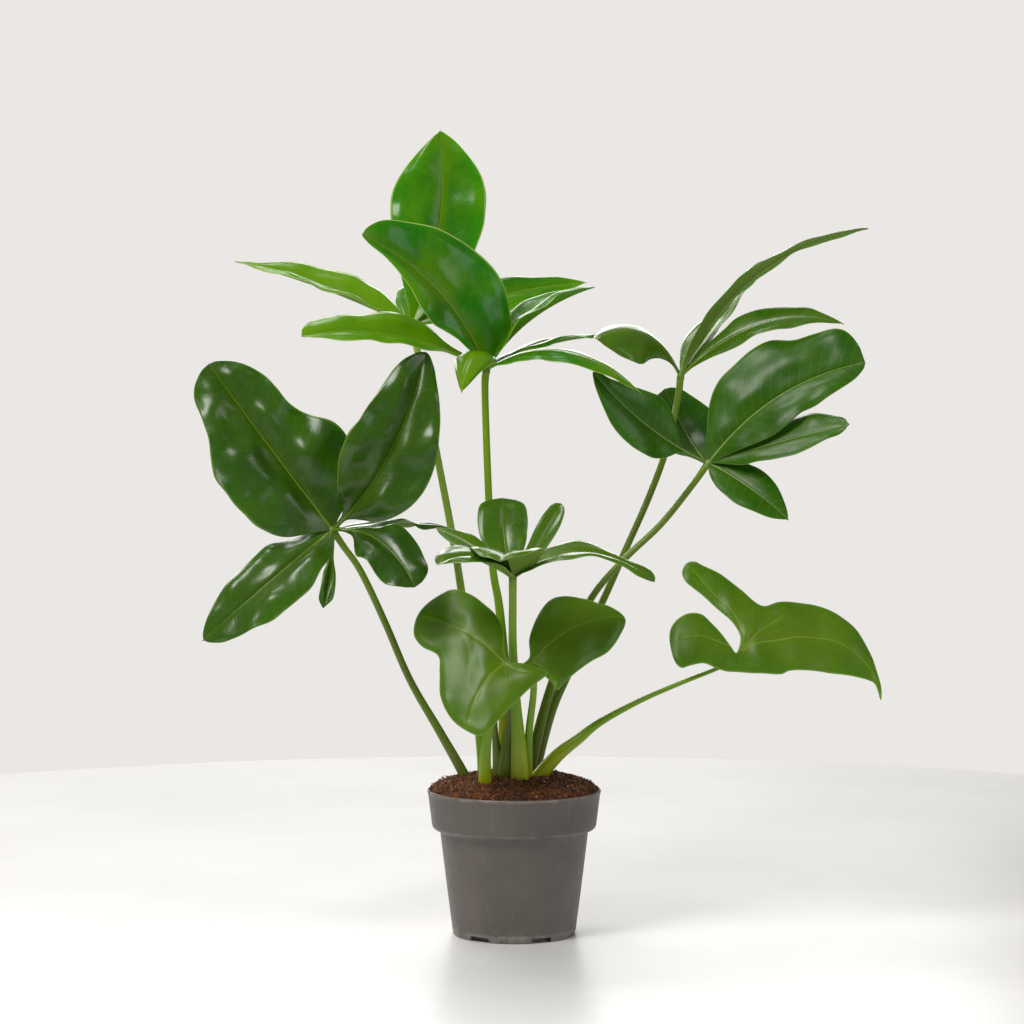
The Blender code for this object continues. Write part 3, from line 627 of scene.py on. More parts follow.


# Each stalk's third colour, the paler head, is partly its own colour and partly a painted highlight.
LIME = stalk_finish("lime_stalk", (0.52, 0.52, 0.002), (0.17, 0.33, 0.0005), (0.21, 0.38, 0.001),
                    (0.2, 0.33, 0.004))
PALE = stalk_finish("pale_stalk", (0.16, 0.33, 0.004), (0.23, 0.38, 0.03), (0.27, 0.4, 0.05),
                    (0.3, 0.38, 0.07))
OLIVE = stalk_finish("olive_stalk", (0.11, 0.155, 0.001), (0.09, 0.165, 0.001), (0.16, 0.27, 0.004),
                     (0.1, 0.11, 0.003))
SHEATH = stalk_finish("old_sheath", (0.15, 0.18, 0.006), (0.12, 0.2, 0.004), (0.17, 0.22, 0.02),
                      (0.08, 0.05, 0.008))
OLD_SHEATHS = {
    "inner_sheath": ((0, -21, 62), [(-5, -12, 2, 7.5), (-5, -14, 22, 6.5), (-3, -17, 44, 4)]),
    "outer_sheath": ((-14, -14, 50), [(-10, -8, 2, 5.5), (-11, -10, 20, 4.6), (-13, -12, 38, 2.6)])}
for name, (tip, path) in OLD_SHEATHS.items():
    sheath = grown_stalk(name, tip, path, SHEATH)
    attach(sheath, "root")


# ---- the leaf blades ----
# Leathery divided blades: separate leaflets spread from a knuckle on the stalk's head. Each has a
# pale midrib, sunk above and raised below, side veins that quilt it, and a thin waved margin.

COLUMNS, ROW_SPACING = 24, 1.25
VEIN_SPACING, LEAF_THICKNESS = 7.5, 0.5
KNUCKLE = [
    (0, -6), (2.6, -5.6), (3, -4.4), (3.25, -2.6), (3.3, -0.8), (3.1, 0.8), (2.5, 2), (1.5, 2.7), (0, 2.9)]
KNUCKLE_STEPS, DIVIDED_KNUCKLE, LOBED_KNUCKLE = 20, 0.82, 0.6


def leaf_finish(name, lit, deep, under, vein, rim, gloss, glow, shine=0.36):
    """Waxy leaf skin: clouded green, pale midrib and fine side veins, a thin light rim, a paler matt
    underside. The maps blade_map and blade_look say where on the leaf a point is."""
    finish, tree, shader, place = new_finish(name)
    across, phase, along = parts_of(tree, map_value(tree, "blade_map", "Vector"))
    below, edge, tone = parts_of(tree, map_value(tree, "blade_look", "Vector"))
    from_midrib = maths(tree, "ABSOLUTE", across)

    cloud = ramp(tree, grain(tree, place, 26, 4), 0.36, 0.66)
    colour = tinted(tree, deep, cloud, 0.45, lit)
    colour = tinted(tree, colour, tone, 0.7, lit)
    cells = grain(tree, place, 700, 3)
    colour = blend_colour(tree, ramp(tree, cells, 0.5, 0.75, 0, 0.14), colour, deep)

    from_vein = maths(tree, "ABSOLUTE", maths(tree, "SUBTRACT", maths(tree, "FRACT", phase), 0.5))
    wide = maths(tree, "MULTIPLY_ADD", from_midrib, -0.0009, 0.085)
    side_vein = maths(tree, "SUBTRACT", 1, maths(tree, "DIVIDE", from_vein, wide))
    side_vein = ramp(tree, side_vein, 0, 1)
    side_vein = maths(tree, "MULTIPLY", side_vein, ramp(tree, edge, 0.97, 0.8))
    web = add_node(tree, "ShaderNodeTexVoronoi", {"Vector": place, "Scale": 420}, feature="DISTANCE_TO_EDGE")
    web = ramp(tree, web.outputs[0], 0, 0.09, 1, 0)
    halo = ramp(tree, from_midrib, 0, 9, 0.35, 0)
    rib_width = maths(tree, "MULTIPLY_ADD", along, -0.6, 0.85)
    midrib = ramp(tree, maths(tree, "SUBTRACT", from_midrib, rib_width), -0.45, 0.2, 1, 0)

    colour = blend_colour(tree, halo, colour, lit)
    colour = tinted(tree, colour, side_vein, 0.1, vein)
    below_colour = tinted(tree, under, side_vein, 0.3, vein)
    colour = blend_colour(tree, below, colour, below_colour)
    colour = tinted(tree, colour, midrib, 0.7, vein)
    colour = blend_colour(tree, ramp(tree, edge, 0.955, 0.99, 0, 0.75), colour, rim)

    satin = maths(tree, "MULTIPLY_ADD", grain(tree, place, 60, 4), 0.16, gloss)
    satin = maths(tree, "MULTIPLY_ADD", below, 0.25, satin)
    relief = maths(tree, "MULTIPLY_ADD", side_vein, -0.1, maths(tree, "MULTIPLY", cells, 0.08))
    relief = maths(tree, "MULTIPLY_ADD", web, -0.03, relief)
    relief = maths(tree, "MULTIPLY_ADD", grain(tree, place, 110, 3), 0.8, relief)
    relief = maths(tree, "MULTIPLY", relief, maths(tree, "MULTIPLY_ADD", below, -0.95, 1))
    join_up(tree, shader, Base_Color=colour, Roughness=satin, Normal=bump(tree, relief, 0.3, 0.0007))
    set_values(shader, Specular_IOR_Level=shine, Subsurface_Weight=glow, Subsurface_Radius=(0.35, 1, 0.08),
               Subsurface_Scale=0.0022)
    return finish


def breadth(along, peak, base, tip):
    """Share of a leaflet's full half-width at a share of its length."""
    if along < peak:
        return math.sin(0.5 * math.pi * along / peak) ** base
    return max(math.cos(0.5 * math.pi * (along - peak) / (1 - peak)), 0) ** tip


def half_width(along, stations):
    """Half-width in mm at a share of the length, from eleven evenly spaced ones, closed at the tip."""
    spot = min(along, 0.9999) * 10
    i = int(spot)
    t = spot - i
    a, b, c, d = (stations[min(max(k, 0), 10)] for k in range(i - 1, i + 3))
    smooth = b + 0.5 * t * (c - a + t * (2 * a - 5 * b + 4 * c - d + t * (3 * b - 3 * c + d - a)))
    closing = min(max((along - 0.93) / 0.07, 0), 1)
    return smooth * math.sqrt(1 - closing**2)


def skin_height(habit, luck, side, x, y, edge, ends, half):
    """Height in mm that the leaf skin stands off its plain shape, from where it is on the leaflet."""
    phase = (y - 0.45 * np.abs(x) - 0.006 * x * x) / VEIN_SPACING + luck[0] + 0.5 * side
    away = np.abs(x)
    pillow = np.abs(np.cos(np.pi * phase)) ** 0.7 - 0.6
    quilt = habit["quilt"] * pillow * smooth_step(away, 1, 7) * (1 - 0.6 * edge**2) * ends
    dome = habit["dome"] * half * np.sin(np.pi * np.clip(edge, 0, 1) ** 0.85) * ends
    wave = 0.7 * np.sin(y / 8.5 + luck[1] + 2.4 * side) + 0.3 * np.sin(y / 4.3 + luck[2] - 1.1 * side)
    ripple = habit["ripple"] * wave * edge**2.2 * ends
    swell = np.sin(y / 10 + x / 17 + luck[3]) * np.cos(x / 8 - y / 19 + luck[4])
    swell = swell + 0.22 * np.sin(y / 4.6 - x / 6.5 + luck[1]) * np.cos(x / 5 + y / 9 + luck[2])
    swell = habit["swell"] * swell * smooth_step(away, 1, 14)
    curl = -habit["curl"] * smooth_step(edge, 0.78, 1) * ends
    return quilt + dome + ripple + swell * ends + curl, phase


def both_halves(value):
    """One value for the left half of a leaflet and one for the right, from a pair or a shared one."""
    return value if isinstance(value, tuple) else (value, value)


def leaflet_arrays(hub, shape, habit, luck):
    """Upper and lower points, and the two maps, of one leaflet as grids of rows and columns."""
    start, reach, bow = Vector(hub), Vector(shape["tip"]), Vector(shape.get("arch", (0, 0, 0)))
    fold, twist = both_halves(shape.get("fold", 12)), shape.get("twist", 0)
    form = shape.get("form", (0.42, 0.8, 0.8))
    length = reach.length * 1.04
    rows = max(int(length / ROW_SPACING), 24)
    s = np.array([math.copysign(abs(k / COLUMNS) ** 1.4, k) for k in range(-COLUMNS, COLUMNS + 1)])
    right = (s > 0).astype(float)
    upper, lower, place, look = [], [], [], []
    for row in range(rows + 1):
        t = row / rows
        spot = start + reach * t + bow * (4 * t * (1 - t))
        ahead = (reach + bow * (4 - 8 * t)).normalized()
        up = Vector(shape["face"])
        up = (up - ahead * up.dot(ahead)).normalized()
        up = Matrix.Rotation(math.radians(twist * (t - 0.5)), 3, ahead) @ up
        side = ahead.cross(up)
        if "margins" in shape:
            widths = [half_width(t, stations) for stations in both_halves(shape["margins"])]
        else:
            widths = [full * breadth(min(t / 0.99, 1), *form) for full in both_halves(shape["width"])]
        least = 1.3 * (1 - t) ** 2 + 0.12
        half = np.where(s > 0, max(widths[1], least), max(widths[0], least))
        lift = np.radians(np.where(s > 0, fold[1], fold[0]))
        x, edge, y = half * s, np.abs(s), np.full_like(s, t * length)
        ends = float(smooth_step(t, 0.03, 0.2) * smooth_step(1 - t, 0.0, 0.12))
        height, phase = skin_height(habit, luck, np.sign(s), x, y, edge, ends, half)
        rib = max(1.5 * (1 - t) ** 0.8, 0.25)
        groove = -0.45 * (1 - 0.6 * t) * np.exp(-((x / 1.1) ** 2)) * ends
        keel = rib * np.exp(-((x / (0.9 * rib + 0.3)) ** 2))
        thick = LEAF_THICKNESS * (1 - 0.55 * edge)
        tilt = lift * np.sign(s) * np.clip(edge / 0.12, 0, 1)
        normal = np.outer(np.cos(tilt), up) - np.outer(np.sin(tilt), side)
        flat = np.array(spot) + np.outer(x * np.cos(lift), side) + np.outer(np.abs(x) * np.sin(lift), up)
        upper.append(flat + normal * (height + groove + 0.5 * thick)[:, None])
        lower.append(flat + normal * (height - keel - 0.5 * thick)[:, None])
        place.append(np.stack([x, phase, np.full_like(s, t)], 1))
        look.append(np.stack([np.zeros_like(s), edge, np.full_like(s, shape.get("tone", luck[5]))], 1))
    return [np.array(grid) for grid in (upper, lower, place, look)]


class BladeMesh:
    """Gathers the sheets of one blade, with their maps, and makes the finished piece."""

    def __init__(self):
        self.points, self.faces, self.place, self.look = [], [], [], []

    def add(self, points, faces, place, look):
        """Adds points in mm from the rim's centre, with their faces and maps."""
        first = len(self.points)
        self.points += [(x * MM, y * MM, (z + RIM_HEIGHT) * MM) for x, y, z in points]
        self.faces += [tuple(first + i for i in face) for face in faces]
        self.place += [tuple(p) for p in place]
        self.look += [tuple(p) for p in look]

    def add_sheet(self, upper, lower, place, look, triangles, rim):
        """Adds a thin closed sheet: two matching layers of points, the upper one's faces, and its rim."""
        under = len(upper)
        faces = list(triangles) + [tuple(under + i for i in reversed(face)) for face in triangles]
        faces += [(i, under + i, under + j, j) for i, j in rim]
        below = look.copy()
        below[:, 0] = 1
        points, looks = np.concatenate([upper, lower]), np.concatenate([look, below])
        self.add(points, faces, np.concatenate([place, place]), looks)

    def add_leaflet(self, hub, shape, habit, luck):
        """Adds one leaflet that runs from the hub to its tip."""
        upper, lower, place, look = leaflet_arrays(hub, shape, habit, luck)
        rows, columns = upper.shape[:2]
        cells = [(r * columns + c, r * columns + c + 1, (r + 1) * columns + c + 1, (r + 1) * columns + c)
                for r in range(rows - 1) for c in range(columns - 1)]
        last = (rows - 1) * columns
        rim = [((r + 1) * columns, r * columns) for r in range(rows - 1)]
        rim += [(last + c + 1, last + c) for c in range(columns - 1)]
        rim += [((r + 1) * columns - 1, (r + 2) * columns - 1) for r in range(rows - 1)]
        rim += [(c, c + 1) for c in range(columns - 1)]
        self.add_sheet(*(grid.reshape(-1, 3) for grid in (upper, lower, place, look)), cells, rim)

    def add_knuckle(self, hub, arriving, size):
        """Adds the small swollen joint, in line with the stalk that arrives at the hub."""
        points, faces = lathe(KNUCKLE, KNUCKLE_STEPS)
        turn = Vector((0, 0, 1)).rotation_difference(Vector(arriving).normalized())
        spots = [turn @ (size * Vector(p)) + Vector(hub) for p in points]
        self.add(spots, faces, np.zeros((len(spots), 3)), np.zeros((len(spots), 3)))

    def finish(self, name, finish):
        """The finished object with its two maps."""
        thing = new_object(name, self.points, self.faces, finish)
        for label, values in (("blade_map", self.place), ("blade_look", self.look)):
            layer = thing.data.attributes.new(label, "FLOAT_VECTOR", "POINT")
            layer.data.foreach_set("vector", np.array(values, np.float32).ravel())
        return thing


def seat(blade, leaf):
    """Puts a finished blade in its CAD node's place."""
    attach(blade, "root")
    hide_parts(f"{leaf}_blade")


def divided_blade(leaf, hub, arriving, finish, habit, leaflets, seed):
    """A blade of separate leaflets, standing for its CAD node."""
    random_draw = np.random.default_rng(seed)
    mesh = BladeMesh()
    mesh.add_knuckle(hub, arriving, DIVIDED_KNUCKLE)
    for shape in leaflets:
        luck = list(random_draw.uniform(0, 6.28, 5)) + [random_draw.uniform(0, 1)]
        mesh.add_leaflet(hub, shape, habit, luck)
    seat(mesh.finish(leaf, finish), leaf)


YOUNG_HABIT = {"quilt": 0.02, "dome": 0.08, "ripple": 1.2, "swell": 1.5, "curl": 1.6}
GLOSSY_HABIT = {"quilt": 0.04, "dome": 0.1, "ripple": 1.6, "swell": 3.2, "curl": 1.3}
PLAIN_HABIT = {"quilt": 0.03, "dome": 0.07, "ripple": 0.9, "swell": 1.3, "curl": 0.9}

YOUNG_GREEN = leaf_finish("young_leaf", (0.14, 0.26, 0.0004), (0.013, 0.12, 0.0002), (0.11, 0.25, 0.004),
                          (0.2, 0.34, 0.02), (0.4, 0.5, 0.14), 0.17, 0.3, 0.28)
DARK_GREEN = leaf_finish("dark_leaf", (0.05, 0.12, 0.0004), (0.018, 0.058, 0.0002), (0.06, 0.14, 0.004),
                         (0.16, 0.27, 0.01), (0.14, 0.24, 0.03), 0.21, 0.08, 0.46)
SATIN_GREEN = leaf_finish("satin_leaf", (0.05, 0.135, 0.0004), (0.016, 0.072, 0.0002), (0.06, 0.14, 0.004),
                          (0.3, 0.42, 0.12), (0.14, 0.24, 0.03), 0.27, 0.1, 0.26)
MID_GREEN = leaf_finish("mid_leaf", (0.115, 0.2, 0.002), (0.04, 0.115, 0.0006), (0.11, 0.2, 0.006),
                        (0.17, 0.3, 0.02), (0.2, 0.32, 0.05), 0.3, 0.12, 0.3)
# grey_leaf's underside colour is partly the paler underside and partly painted sheen: greyed and lightened to
# stand in for the reflection on the arching upper right leaflet.
GREY_GREEN = leaf_finish("grey_leaf", (0.085, 0.17, 0.004), (0.035, 0.105, 0.0015), (0.14, 0.23, 0.025),
                         (0.17, 0.3, 0.03), (0.25, 0.36, 0.12), 0.18, 0.1)


# ---- the top leaf ----
# The tallest leaf, still young: bright, thin and translucent, six leaflets with rolled pale margins.

TOP_HUB = (-19, -10, 290)
TOP_PATH = [(-4, -2, 6, 8), (-5, 0, 40, 6), (-6, 2, 70, 4.5), (-10, 3, 123, 3.4), (-15, 3, 155, 3),
            (-18, 0, 213, 2.9), (-20, -7, 274, 2.8)]
leaf_stalk("top_leaf", TOP_HUB, TOP_PATH, LIME)
divided_blade("top_leaf", TOP_HUB, (1, -3, 16), YOUNG_GREEN, YOUNG_HABIT, [
    dict(tip=(-83, -36, 89), arch=(9, 4, 8), face=(0.1, -0.9, 0.4), fold=(20, 8), tone=0,
         margins=((2, 5, 10, 15, 21, 23, 17, 12, 8, 6, 4), (2, 24, 33, 38, 40, 39, 36, 32, 26, 19, 10))),
    dict(tip=(-124, -30, 21), arch=(0, 0, 12), face=(0, -0.55, 0.8), fold=18, tone=0.7,
         margins=((2, 3, 4, 9, 14, 17, 17, 17, 14, 9, 5), (2, 3, 5, 12, 20, 22, 19, 16, 16, 14, 9))),
    dict(tip=(-16, -62, -17), arch=(0, 0, 19), width=16, face=(0, -0.2, 1), fold=-20),
    dict(tip=(75, 28, 57), arch=(-7, 0, 6), width=29, face=(-0.4, -0.12, 0.9), fold=(22, 18), tone=0.1),
    dict(tip=(87, 70, 24), arch=(0, 0, 6), width=15, face=(0, 0.1, 1)),
    dict(tip=(104, -40, -17), arch=(0, 0, 20), width=17, face=(0.1, -0.2, 1), fold=-12, tone=0.1),
], 3)


# ---- the back top leaf ----
# The second tall young leaf, behind the first: one upright leaflet, two held flat and one behind.

BACK_TOP_HUB = (-72, 40, 321)
BACK_TOP_PATH = [(-21, 8, 5, 4.2), (-24, 14, 39, 3.6), (-36, 25, 129, 3.2), (-44, 30, 178, 3),
                 (-54, 35, 230, 2.9), (-68, 39, 304, 2.8)]
leaf_stalk("back_top_leaf", BACK_TOP_HUB, BACK_TOP_PATH, PALE)
divided_blade("back_top_leaf", BACK_TOP_HUB, (-4, 1, 17), YOUNG_GREEN, YOUNG_HABIT, [
    dict(tip=(-126, 20, 46), arch=(0, 0, 4), width=24, face=(0.2, -0.35, 0.85), fold=24, tone=1,
         form=(0.4, 1.0, 1.0)),
    dict(tip=(20, 8, 138), arch=(9, 8, 0), width=(36, 33), face=(-0.05, -0.95, 0.15), fold=(10, 14),
         tone=0.15, form=(0.62, 1.0, 0.8)),
    dict(tip=(124, 38, 32), arch=(0, 4, 6), width=16, face=(-0.1, -0.75, 0.65), fold=10, tone=0.1),
    dict(tip=(5, 88, 30), arch=(0, 0, 8), width=(15, 18), face=(0, -0.1, 1)),
], 8)


# ---- the left leaf ----
# The big old leaf on the left: deep green and glossy, quilted between its veins.

LEFT_HUB = (-124, -20, 180)
LEFT_PATH = [(-33, 3, 5, 4), (-51, 2, 38, 3.3), (-72, 0, 75, 3.1), (-89, -8, 116, 3), (-105, -14, 151, 2.9),
             (-117, -18, 169, 2.8)]
leaf_stalk("left_leaf", LEFT_HUB, LEFT_PATH, OLIVE)
divided_blade("left_leaf", LEFT_HUB, (-7, -2, 11), DARK_GREEN, GLOSSY_HABIT, [
    dict(tip=(-84, 2, 113), arch=(-2, -2, 2), face=(-0.1, -0.82, 0.5), fold=(14, 6), tone=0.1,
         margins=((2, 30, 42, 45, 46, 45, 38, 32, 27, 21, 13), (2, 35, 44, 47, 45, 35, 29, 28, 26, 19, 9))),
    dict(tip=(64, -2, 121), arch=(8, -12, -8), face=(0.3, -0.85, 0.35), fold=14, tone=0.3,
         margins=((2, 3, 17, 26, 31, 33, 30, 27, 23, 18, 9), (2, 3, 20, 29, 33, 32, 29, 24, 18, 11, 5))),
    dict(tip=(-86, -25, -74), arch=(1, -8, 2), width=(28, 22), face=(-0.25, -0.8, 0.5), fold=10,
         form=(0.52, 0.6, 0.62)),
    dict(tip=(-4, -34, -51), arch=(2, -4, 2), face=(0.3, -0.9, 0.3), twist=40, fold=38,
         margins=[1.2, 1.2, 1.2, 1.2, 1.5, 3, 5, 5.5, 5, 4, 2]),
    dict(tip=(58, -50, -36), arch=(4, -4, 12), face=(0.25, -0.75, 0.5), fold=8,
         margins=((2, 2, 2.5, 6, 13, 18, 20, 20, 18, 15, 9), (2, 2, 2.5, 8, 15, 20, 21, 21, 19, 16, 10))),
    dict(tip=(80, 30, 0), arch=(0, 0, 3), width=15, face=(0, -0.1, 1), fold=8),
], 5)


# ---- the right leaf ----
# The dark leaf on the right, five leaflets, one of them turned to the back.

RIGHT_HUB = (134, 5, 225)
RIGHT_PATH = [(10, 6, 5, 4.6), (20, 7, 50, 3.8), (33, 8, 90, 3.3), (54, 8, 132, 3.1), (77, 8, 159, 3),
              (101, 7, 182, 2.9), (122, 6, 208, 2.8)]
leaf_stalk("right_leaf", RIGHT_HUB, RIGHT_PATH, OLIVE)
divided_blade("right_leaf", RIGHT_HUB, (12, -1, 17), SATIN_GREEN, PLAIN_HABIT, [
    dict(tip=(106, -15, 69), arch=(-6, 0, 11), face=(-0.25, -0.8, 0.55), fold=(10, 12), tone=0.25,
         margins=((2, 14, 28, 36, 39, 41, 41, 33.5, 32, 30, 22), (2, 10, 18, 24, 27, 27, 25, 23, 20, 15, 9))),
    dict(tip=(92, -42, 27), arch=(0, -2, 1), width=(20, 19), face=(0, -0.65, 0.75), fold=8,
         form=(0.55, 1.0, 0.45)),
    dict(tip=(52, -35, -38), arch=(0, -4, 3), width=(16, 19), face=(0.1, -0.8, 0.55), fold=10,
         form=(0.5, 0.8, 0.8)),
    dict(tip=(-81, -45, 62), arch=(-3, 0, -5), face=(-0.1, -0.85, 0.5), fold=12,
         margins=((1.3, 1.3, 1.5, 12, 20, 23, 21, 18, 14, 9, 3),
                  (1.3, 1.3, 2, 12, 21, 23, 20, 16, 11, 6, 3))),
    dict(tip=(-26, 74, 52), arch=(4, 24, -10), face=(0.1, -0.8, 0.6), fold=8,
         margins=((2, 8, 14, 20, 26, 30, 32, 33, 32, 28, 20), (2, 10, 17, 22, 25, 27, 27, 25, 21, 15, 8))),
], 11)


# ---- the upper right leaf ----
# The leaf above it on a long stalk: narrow leaflets folded along their midribs.

UPPER_RIGHT_HUB = (117, 40, 286)
UPPER_RIGHT_PATH = [(13, 11, 6, 4.8), (25, 15, 50, 4), (38, 20, 79, 3.5), (62, 26, 128, 3.1),
                    (79, 29, 166, 2.9), (95, 32, 202, 2.9), (107, 34, 235, 2.8), (115, 38, 270, 2.8)]
leaf_stalk("upper_right_leaf", UPPER_RIGHT_HUB, UPPER_RIGHT_PATH, OLIVE)
divided_blade("upper_right_leaf", UPPER_RIGHT_HUB, (2, 2, 16), GREY_GREEN, PLAIN_HABIT, [
    dict(tip=(130, -10, 102), arch=(-13, 0, 19), face=(-0.6, 0.45, 0.7), fold=14, tone=0.3,
         margins=((1.5, 6, 9, 10, 10, 9, 8, 6.5, 5, 3.5, 1.5), (1.5, 6, 9, 10, 10, 9, 8, 6.5, 5, 3.5, 2))),
    dict(tip=(111, -30, 35), arch=(0, 0, 18), width=(15, 16), face=(0, -0.6, 0.8), fold=10,
         form=(0.5, 1.1, 0.9)),
    dict(tip=(-60, -44, 24), arch=(3, 0, 17), face=(-0.1, -0.7, 0.7), fold=(-26, -30),
         margins=((1.5, 2, 6, 13, 20, 24, 26, 26, 24, 18, 9), (1.5, 2, 6, 13, 20, 24, 25, 24, 21, 15, 7))),
    dict(tip=(66, 55, 84), arch=(-2, 0, 2), face=(-0.5, -0.4, 0.75),
         margins=((1.5, 8, 14, 17, 16, 10, 8, 9, 10, 9, 5), (1.5, 6, 10, 12, 12, 12, 11, 10, 8, 6, 3))),
], 14)


# ---- the middle leaf ----
# The greyish leaf in the middle, its six leaflets spread nearly level on a short stout stalk.

MIDDLE_HUB = (-1, -60, 150)
MIDDLE_PATH = [(4, -22, 4, 6.6), (3, -26, 34, 5.2), (1, -30, 64, 4), (-1, -42, 103, 3.3), (-1, -54, 131, 3),
               (-1, -58, 140, 2.9)]
leaf_stalk("middle_leaf", MIDDLE_HUB, MIDDLE_PATH, LIME)
divided_blade("middle_leaf", MIDDLE_HUB, (0, -2, 10), GREY_GREEN, PLAIN_HABIT, [
    dict(tip=(-7, 32, 52), arch=(-2, 8, -4), face=(0, -0.85, 0.5), fold=6,
         margins=((2, 4, 7, 10, 13, 15, 16.5, 17, 17, 16, 13), (2, 4, 7, 10, 13, 15, 16, 17, 17, 16, 13))),
    dict(tip=(33, 40, 48), arch=(0, 6, -4), face=(0, -0.8, 0.6),
         margins=((1.5, 1.5, 2, 3, 5, 6, 7, 7.5, 7.5, 6.5, 5), (1.5, 1.5, 2, 3, 5, 6, 6.5, 7, 7, 6, 4))),
    dict(tip=(-52, 28, 32), arch=(0, 0, 3), width=9, face=(0.3, -0.5, 0.8), form=(0.6, 0.9, 0.6)),
    dict(tip=(-50, -25, 10), arch=(0, 0, 8), width=23, face=(0, -0.2, 1), fold=10,
         form=(0.5, 0.6, 0.5)),
    dict(tip=(94, -14, -2), arch=(0, 0, 18), face=(0, -0.3, 1), fold=8,
         margins=[2, 10, 15, 17, 17, 15, 12, 8, 6, 8, 7]),
    dict(tip=(-8, -60, 14), arch=(0, 0, 9), width=25, face=(0, -0.05, 1), fold=12,
         form=(0.5, 0.6, 0.5)),
], 17)


# ---- the three young low leaves ----
# Leaves from before the plant began to divide its blades: one sheet each, with two or three lobes
# and a branching midrib, joined to its stalk at the notch.

LOBE_GRID, LOBE_STEPS, VEIN_STEPS = 1.35, 9, 4
LOW_HABIT = {"quilt": 0.0, "dome": 0.05, "ripple": 0.7, "swell": 1.3, "curl": 1.0}


def from_line(spots, line):
    """For flat spots: how far from a line of points, how far along it, which side (-1 or 1); its length."""
    best = np.full(len(spots), 1e9)
    along, side = np.zeros(len(spots)), np.ones(len(spots))
    run = 0
    for a, b in zip(line, line[1:]):
        a, step = np.array(tuple(a)), np.array(tuple(b)) - np.array(tuple(a))
        length = np.hypot(*step)
        share = np.clip((spots - a) @ step / length**2, 0, 1)
        gap = spots - a - share[:, None] * step
        away = np.hypot(gap[:, 0], gap[:, 1])
        near = away < best
        best[near], along[near] = away[near], (run + share * length)[near]
        side[near] = np.where(step[0] * gap[:, 1] - step[1] * gap[:, 0] > 0, -1, 1)[near]
        run += length
    return best, along, side, run


def inside(spots, ring):
    """Which spots lie inside the closed ring."""
    found = np.zeros(len(spots), bool)
    for (ax, ay), (bx, by) in zip(ring, np.roll(ring, -1, 0)):
        crosses = (ay > spots[:, 1]) != (by > spots[:, 1])
        found ^= crosses & (spots[:, 0] < (bx - ax) * (spots[:, 1] - ay) / ((by - ay) or 1e-9) + ax)
    return found


def filled_outline(ring):
    """Points, triangles and rim of the flat shape inside the ring, on a fine even grid."""
    low, high = ring.min(0), ring.max(0)
    xs, ys = np.arange(low[0], high[0], LOBE_GRID), np.arange(low[1], high[1], LOBE_GRID * 0.87)
    grid = np.array([(x + (row % 2) * LOBE_GRID / 2, y) for row, y in enumerate(ys) for x in xs])
    away = from_line(grid, list(ring) + [ring[0]])[0]
    grid = grid[inside(grid, ring) & (away > 0.6 * LOBE_GRID)]
    everything = [Vector(p) for p in np.concatenate([ring, grid])]
    made = delaunay_2d_cdt(everything, [], [list(range(len(ring)))], 1, 1e-5)
    points, faces = np.array([tuple(p) for p in made[0]]), [tuple(face) for face in made[2]]
    sides = {(face[i], face[(i + 1) % 3]) for face in faces for i in range(3)}
    rim = [(a, b) for a, b in sides if (b, a) not in sides]
    return points, faces, sorted(rim)


def lobed_blade(leaf, hub, arriving, lean, cup, outline, veins, seed):
    """An undivided lobed blade, standing for its CAD node. It faces the way of lean; its outline and
    the veins that run from the hub into its lobes are flat points in mm from the hub."""
    face = np.array(Vector(lean).normalized())
    knots = [Vector(p) for p in outline]
    ring = np.array(curve_through([knots[-1], *knots, *knots[:2]], LOBE_STEPS))
    flat, triangles, rim = filled_outline(ring)
    luck = list(np.random.default_rng(seed).uniform(0, 6.28, 5))
    from_rim = from_line(flat, list(ring) + [ring[0]])[0]
    span = np.hypot(flat[:, 0], flat[:, 1])
    away, along, side, whole = (np.zeros(len(flat)) for _ in range(4))
    away += 1e9
    for line in veins:
        gap, run, hand, length = from_line(flat, smooth_path([(0, 0), *line], VEIN_STEPS))
        nearer = gap < away
        away[nearer], along[nearer] = gap[nearer], run[nearer]
        side[nearer], whole[nearer] = hand[nearer], length
    edge = np.clip(1 - from_rim / 20, 0, 1)
    ends = smooth_step(span, 3, 16)
    height = skin_height(LOW_HABIT, luck, 1, flat[:, 0], flat[:, 1], edge, ends, 16)[0]
    phase = skin_height(LOW_HABIT, luck, side, away * side, along, edge, ends, 16)[1]
    rib = np.maximum(1.4 * (1 - along / whole) ** 0.8, 0.25)
    groove = -0.4 * np.exp(-((away / 1.1) ** 2)) * ends
    keel = rib * np.exp(-((away / (0.9 * rib + 0.3)) ** 2))
    thick = LEAF_THICKNESS * (1 - 0.5 * edge**3)
    lift = cup * (span / span.max()) ** 2 + 1.8 + 2.1 * smooth_step(span, 0, 12)
    depth = -(face[0] * flat[:, 0] + face[2] * flat[:, 1]) / face[1]
    plane = np.array(hub) + np.stack([flat[:, 0], depth, flat[:, 1]], 1)
    upper = plane + np.outer(lift + height + groove + 0.5 * thick, face)
    lower = plane + np.outer(lift + height - keel - 0.5 * thick, face)
    place = np.stack([away * side, phase, along / whole], 1)
    look = np.stack([np.zeros(len(flat)), 1 - from_rim / 24, np.full(len(flat), 0.4)], 1)
    mesh = BladeMesh()
    mesh.add_knuckle(hub, arriving, LOBED_KNUCKLE)
    mesh.add_sheet(upper, lower, place, look, triangles, rim)
    seat(mesh.finish(leaf, MID_GREEN), leaf)


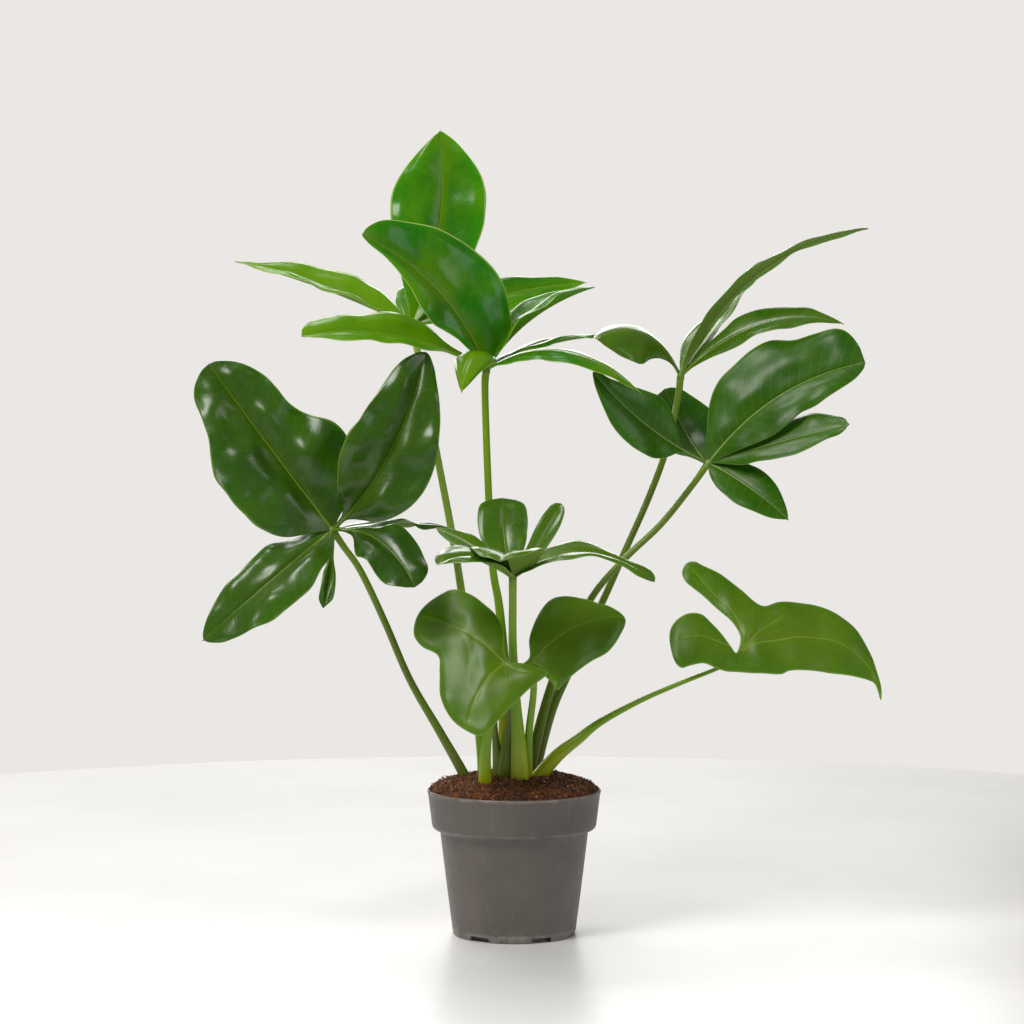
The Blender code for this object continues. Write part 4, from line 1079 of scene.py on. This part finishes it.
FRONT_LEFT_HUB = (-6, -58, 92)
FRONT_LEFT_PATH = [(-20, -27, 3, 4.6), (-19, -37, 35, 4), (-13, -44, 67, 3.2), (-8, -50, 83, 2.8)]
FRONT_LEFT_OUTLINE = [
    (0, 5), (-1, 20), (-6, 30), (-14, 38), (-24, 45), (-37, 48), (-50, 42), (-60, 31), (-62, 19), (-56, 10),
    (-45, 4), (-44, -6), (-43, -22), (-35, -36), (-20, -45), (-12, -44), (-2, -34), (12, -20), (28, -7),
    (23, -4), (12, -1), (4, 0)]
FRONT_LEFT_VEINS = [
    [(-14, 11), (-30, 21), (-46, 28), (-56, 30)], [(-12, -12), (-20, -25), (-24, -36)],
    [(10, -6), (24, -7)]]
leaf_stalk("front_left_leaf", FRONT_LEFT_HUB, FRONT_LEFT_PATH, LIME)
lobed_blade("front_left_leaf", FRONT_LEFT_HUB, (2, -8, 9), (-0.1, -0.85, 0.5), -5,
            FRONT_LEFT_OUTLINE, FRONT_LEFT_VEINS, 23)

FRONT_RIGHT_HUB = (12, -42, 91)
FRONT_RIGHT_PATH = [(9, -13, 5, 3.6), (10, -22, 40, 3.1), (13, -30, 68, 2.7), (13, -36, 82, 2.6)]
FRONT_RIGHT_OUTLINE = [
    (-8, -3), (-2, 3), (-2, 15), (4, 30), (12, 40), (23, 43), (37, 42), (45, 39), (54, 36), (64, 28),
    (60, 17), (52, 7), (41, 1), (31, -6), (23, -12), (17, -18), (13, -13), (6, -8), (-2, -5)]
FRONT_RIGHT_VEINS = [[(12, 11), (28, 21), (44, 27), (60, 29)], [(8, -5), (14, -12)]]
leaf_stalk("front_right_leaf", FRONT_RIGHT_HUB, FRONT_RIGHT_PATH, LIME)
lobed_blade("front_right_leaf", FRONT_RIGHT_HUB, (-1, -6, 9), (0.1, -0.85, 0.5), -4,
            FRONT_RIGHT_OUTLINE, FRONT_RIGHT_VEINS, 29)

LOW_RIGHT_HUB = (156, -20, 97)
LOW_RIGHT_PATH = [(14, -8, 4, 6), (29, -10, 23, 5), (45, -10, 36, 4.2), (59, -10, 47, 3.3),
                  (86, -12, 62, 2.4), (113, -13, 74, 2.1), (138, -14, 84, 1.8), (150, -16, 90, 1.8)]
LOW_RIGHT_OUTLINE = [
    (-5, -2), (-2, 4), (-2, 10), (-6, 17), (-13, 24), (-26, 36), (-37, 44), (-40, 51), (-37, 58), (-31, 60),
    (-24, 56), (-11, 48), (1, 39), (14, 29), (26, 31), (41, 31), (55, 29), (68, 23), (80, 13), (88, -1),
    (92, -14), (94, -24), (93, -31), (90, -22), (85, -19), (70, -16), (51, -14), (32, -14), (25, -16),
    (12, -16), (-1, -15), (-11, -14), (-19, -12), (-27, -9), (-36, -10), (-43, -11), (-48, -5), (-50, 9),
    (-47, 18), (-38, 24), (-28, 24), (-21, 18), (-14, 10), (-9, 3)]
LOW_RIGHT_VEINS = [
    [(10, 4), (24, 6), (41, 8), (55, 7), (66, 4), (78, -3), (86, -11), (91, -20)],
    [(0, 12), (-8, 26), (-21, 39), (-33, 53)], [(-14, 4), (-28, 8), (-42, 8)], [(12, 12), (28, 21)]]
leaf_stalk("low_right_leaf", LOW_RIGHT_HUB, LOW_RIGHT_PATH, LIME)
lobed_blade("low_right_leaf", LOW_RIGHT_HUB, (12, -3, 10), (0.05, -0.85, 0.5), -5,
            LOW_RIGHT_OUTLINE, LOW_RIGHT_VEINS, 31)
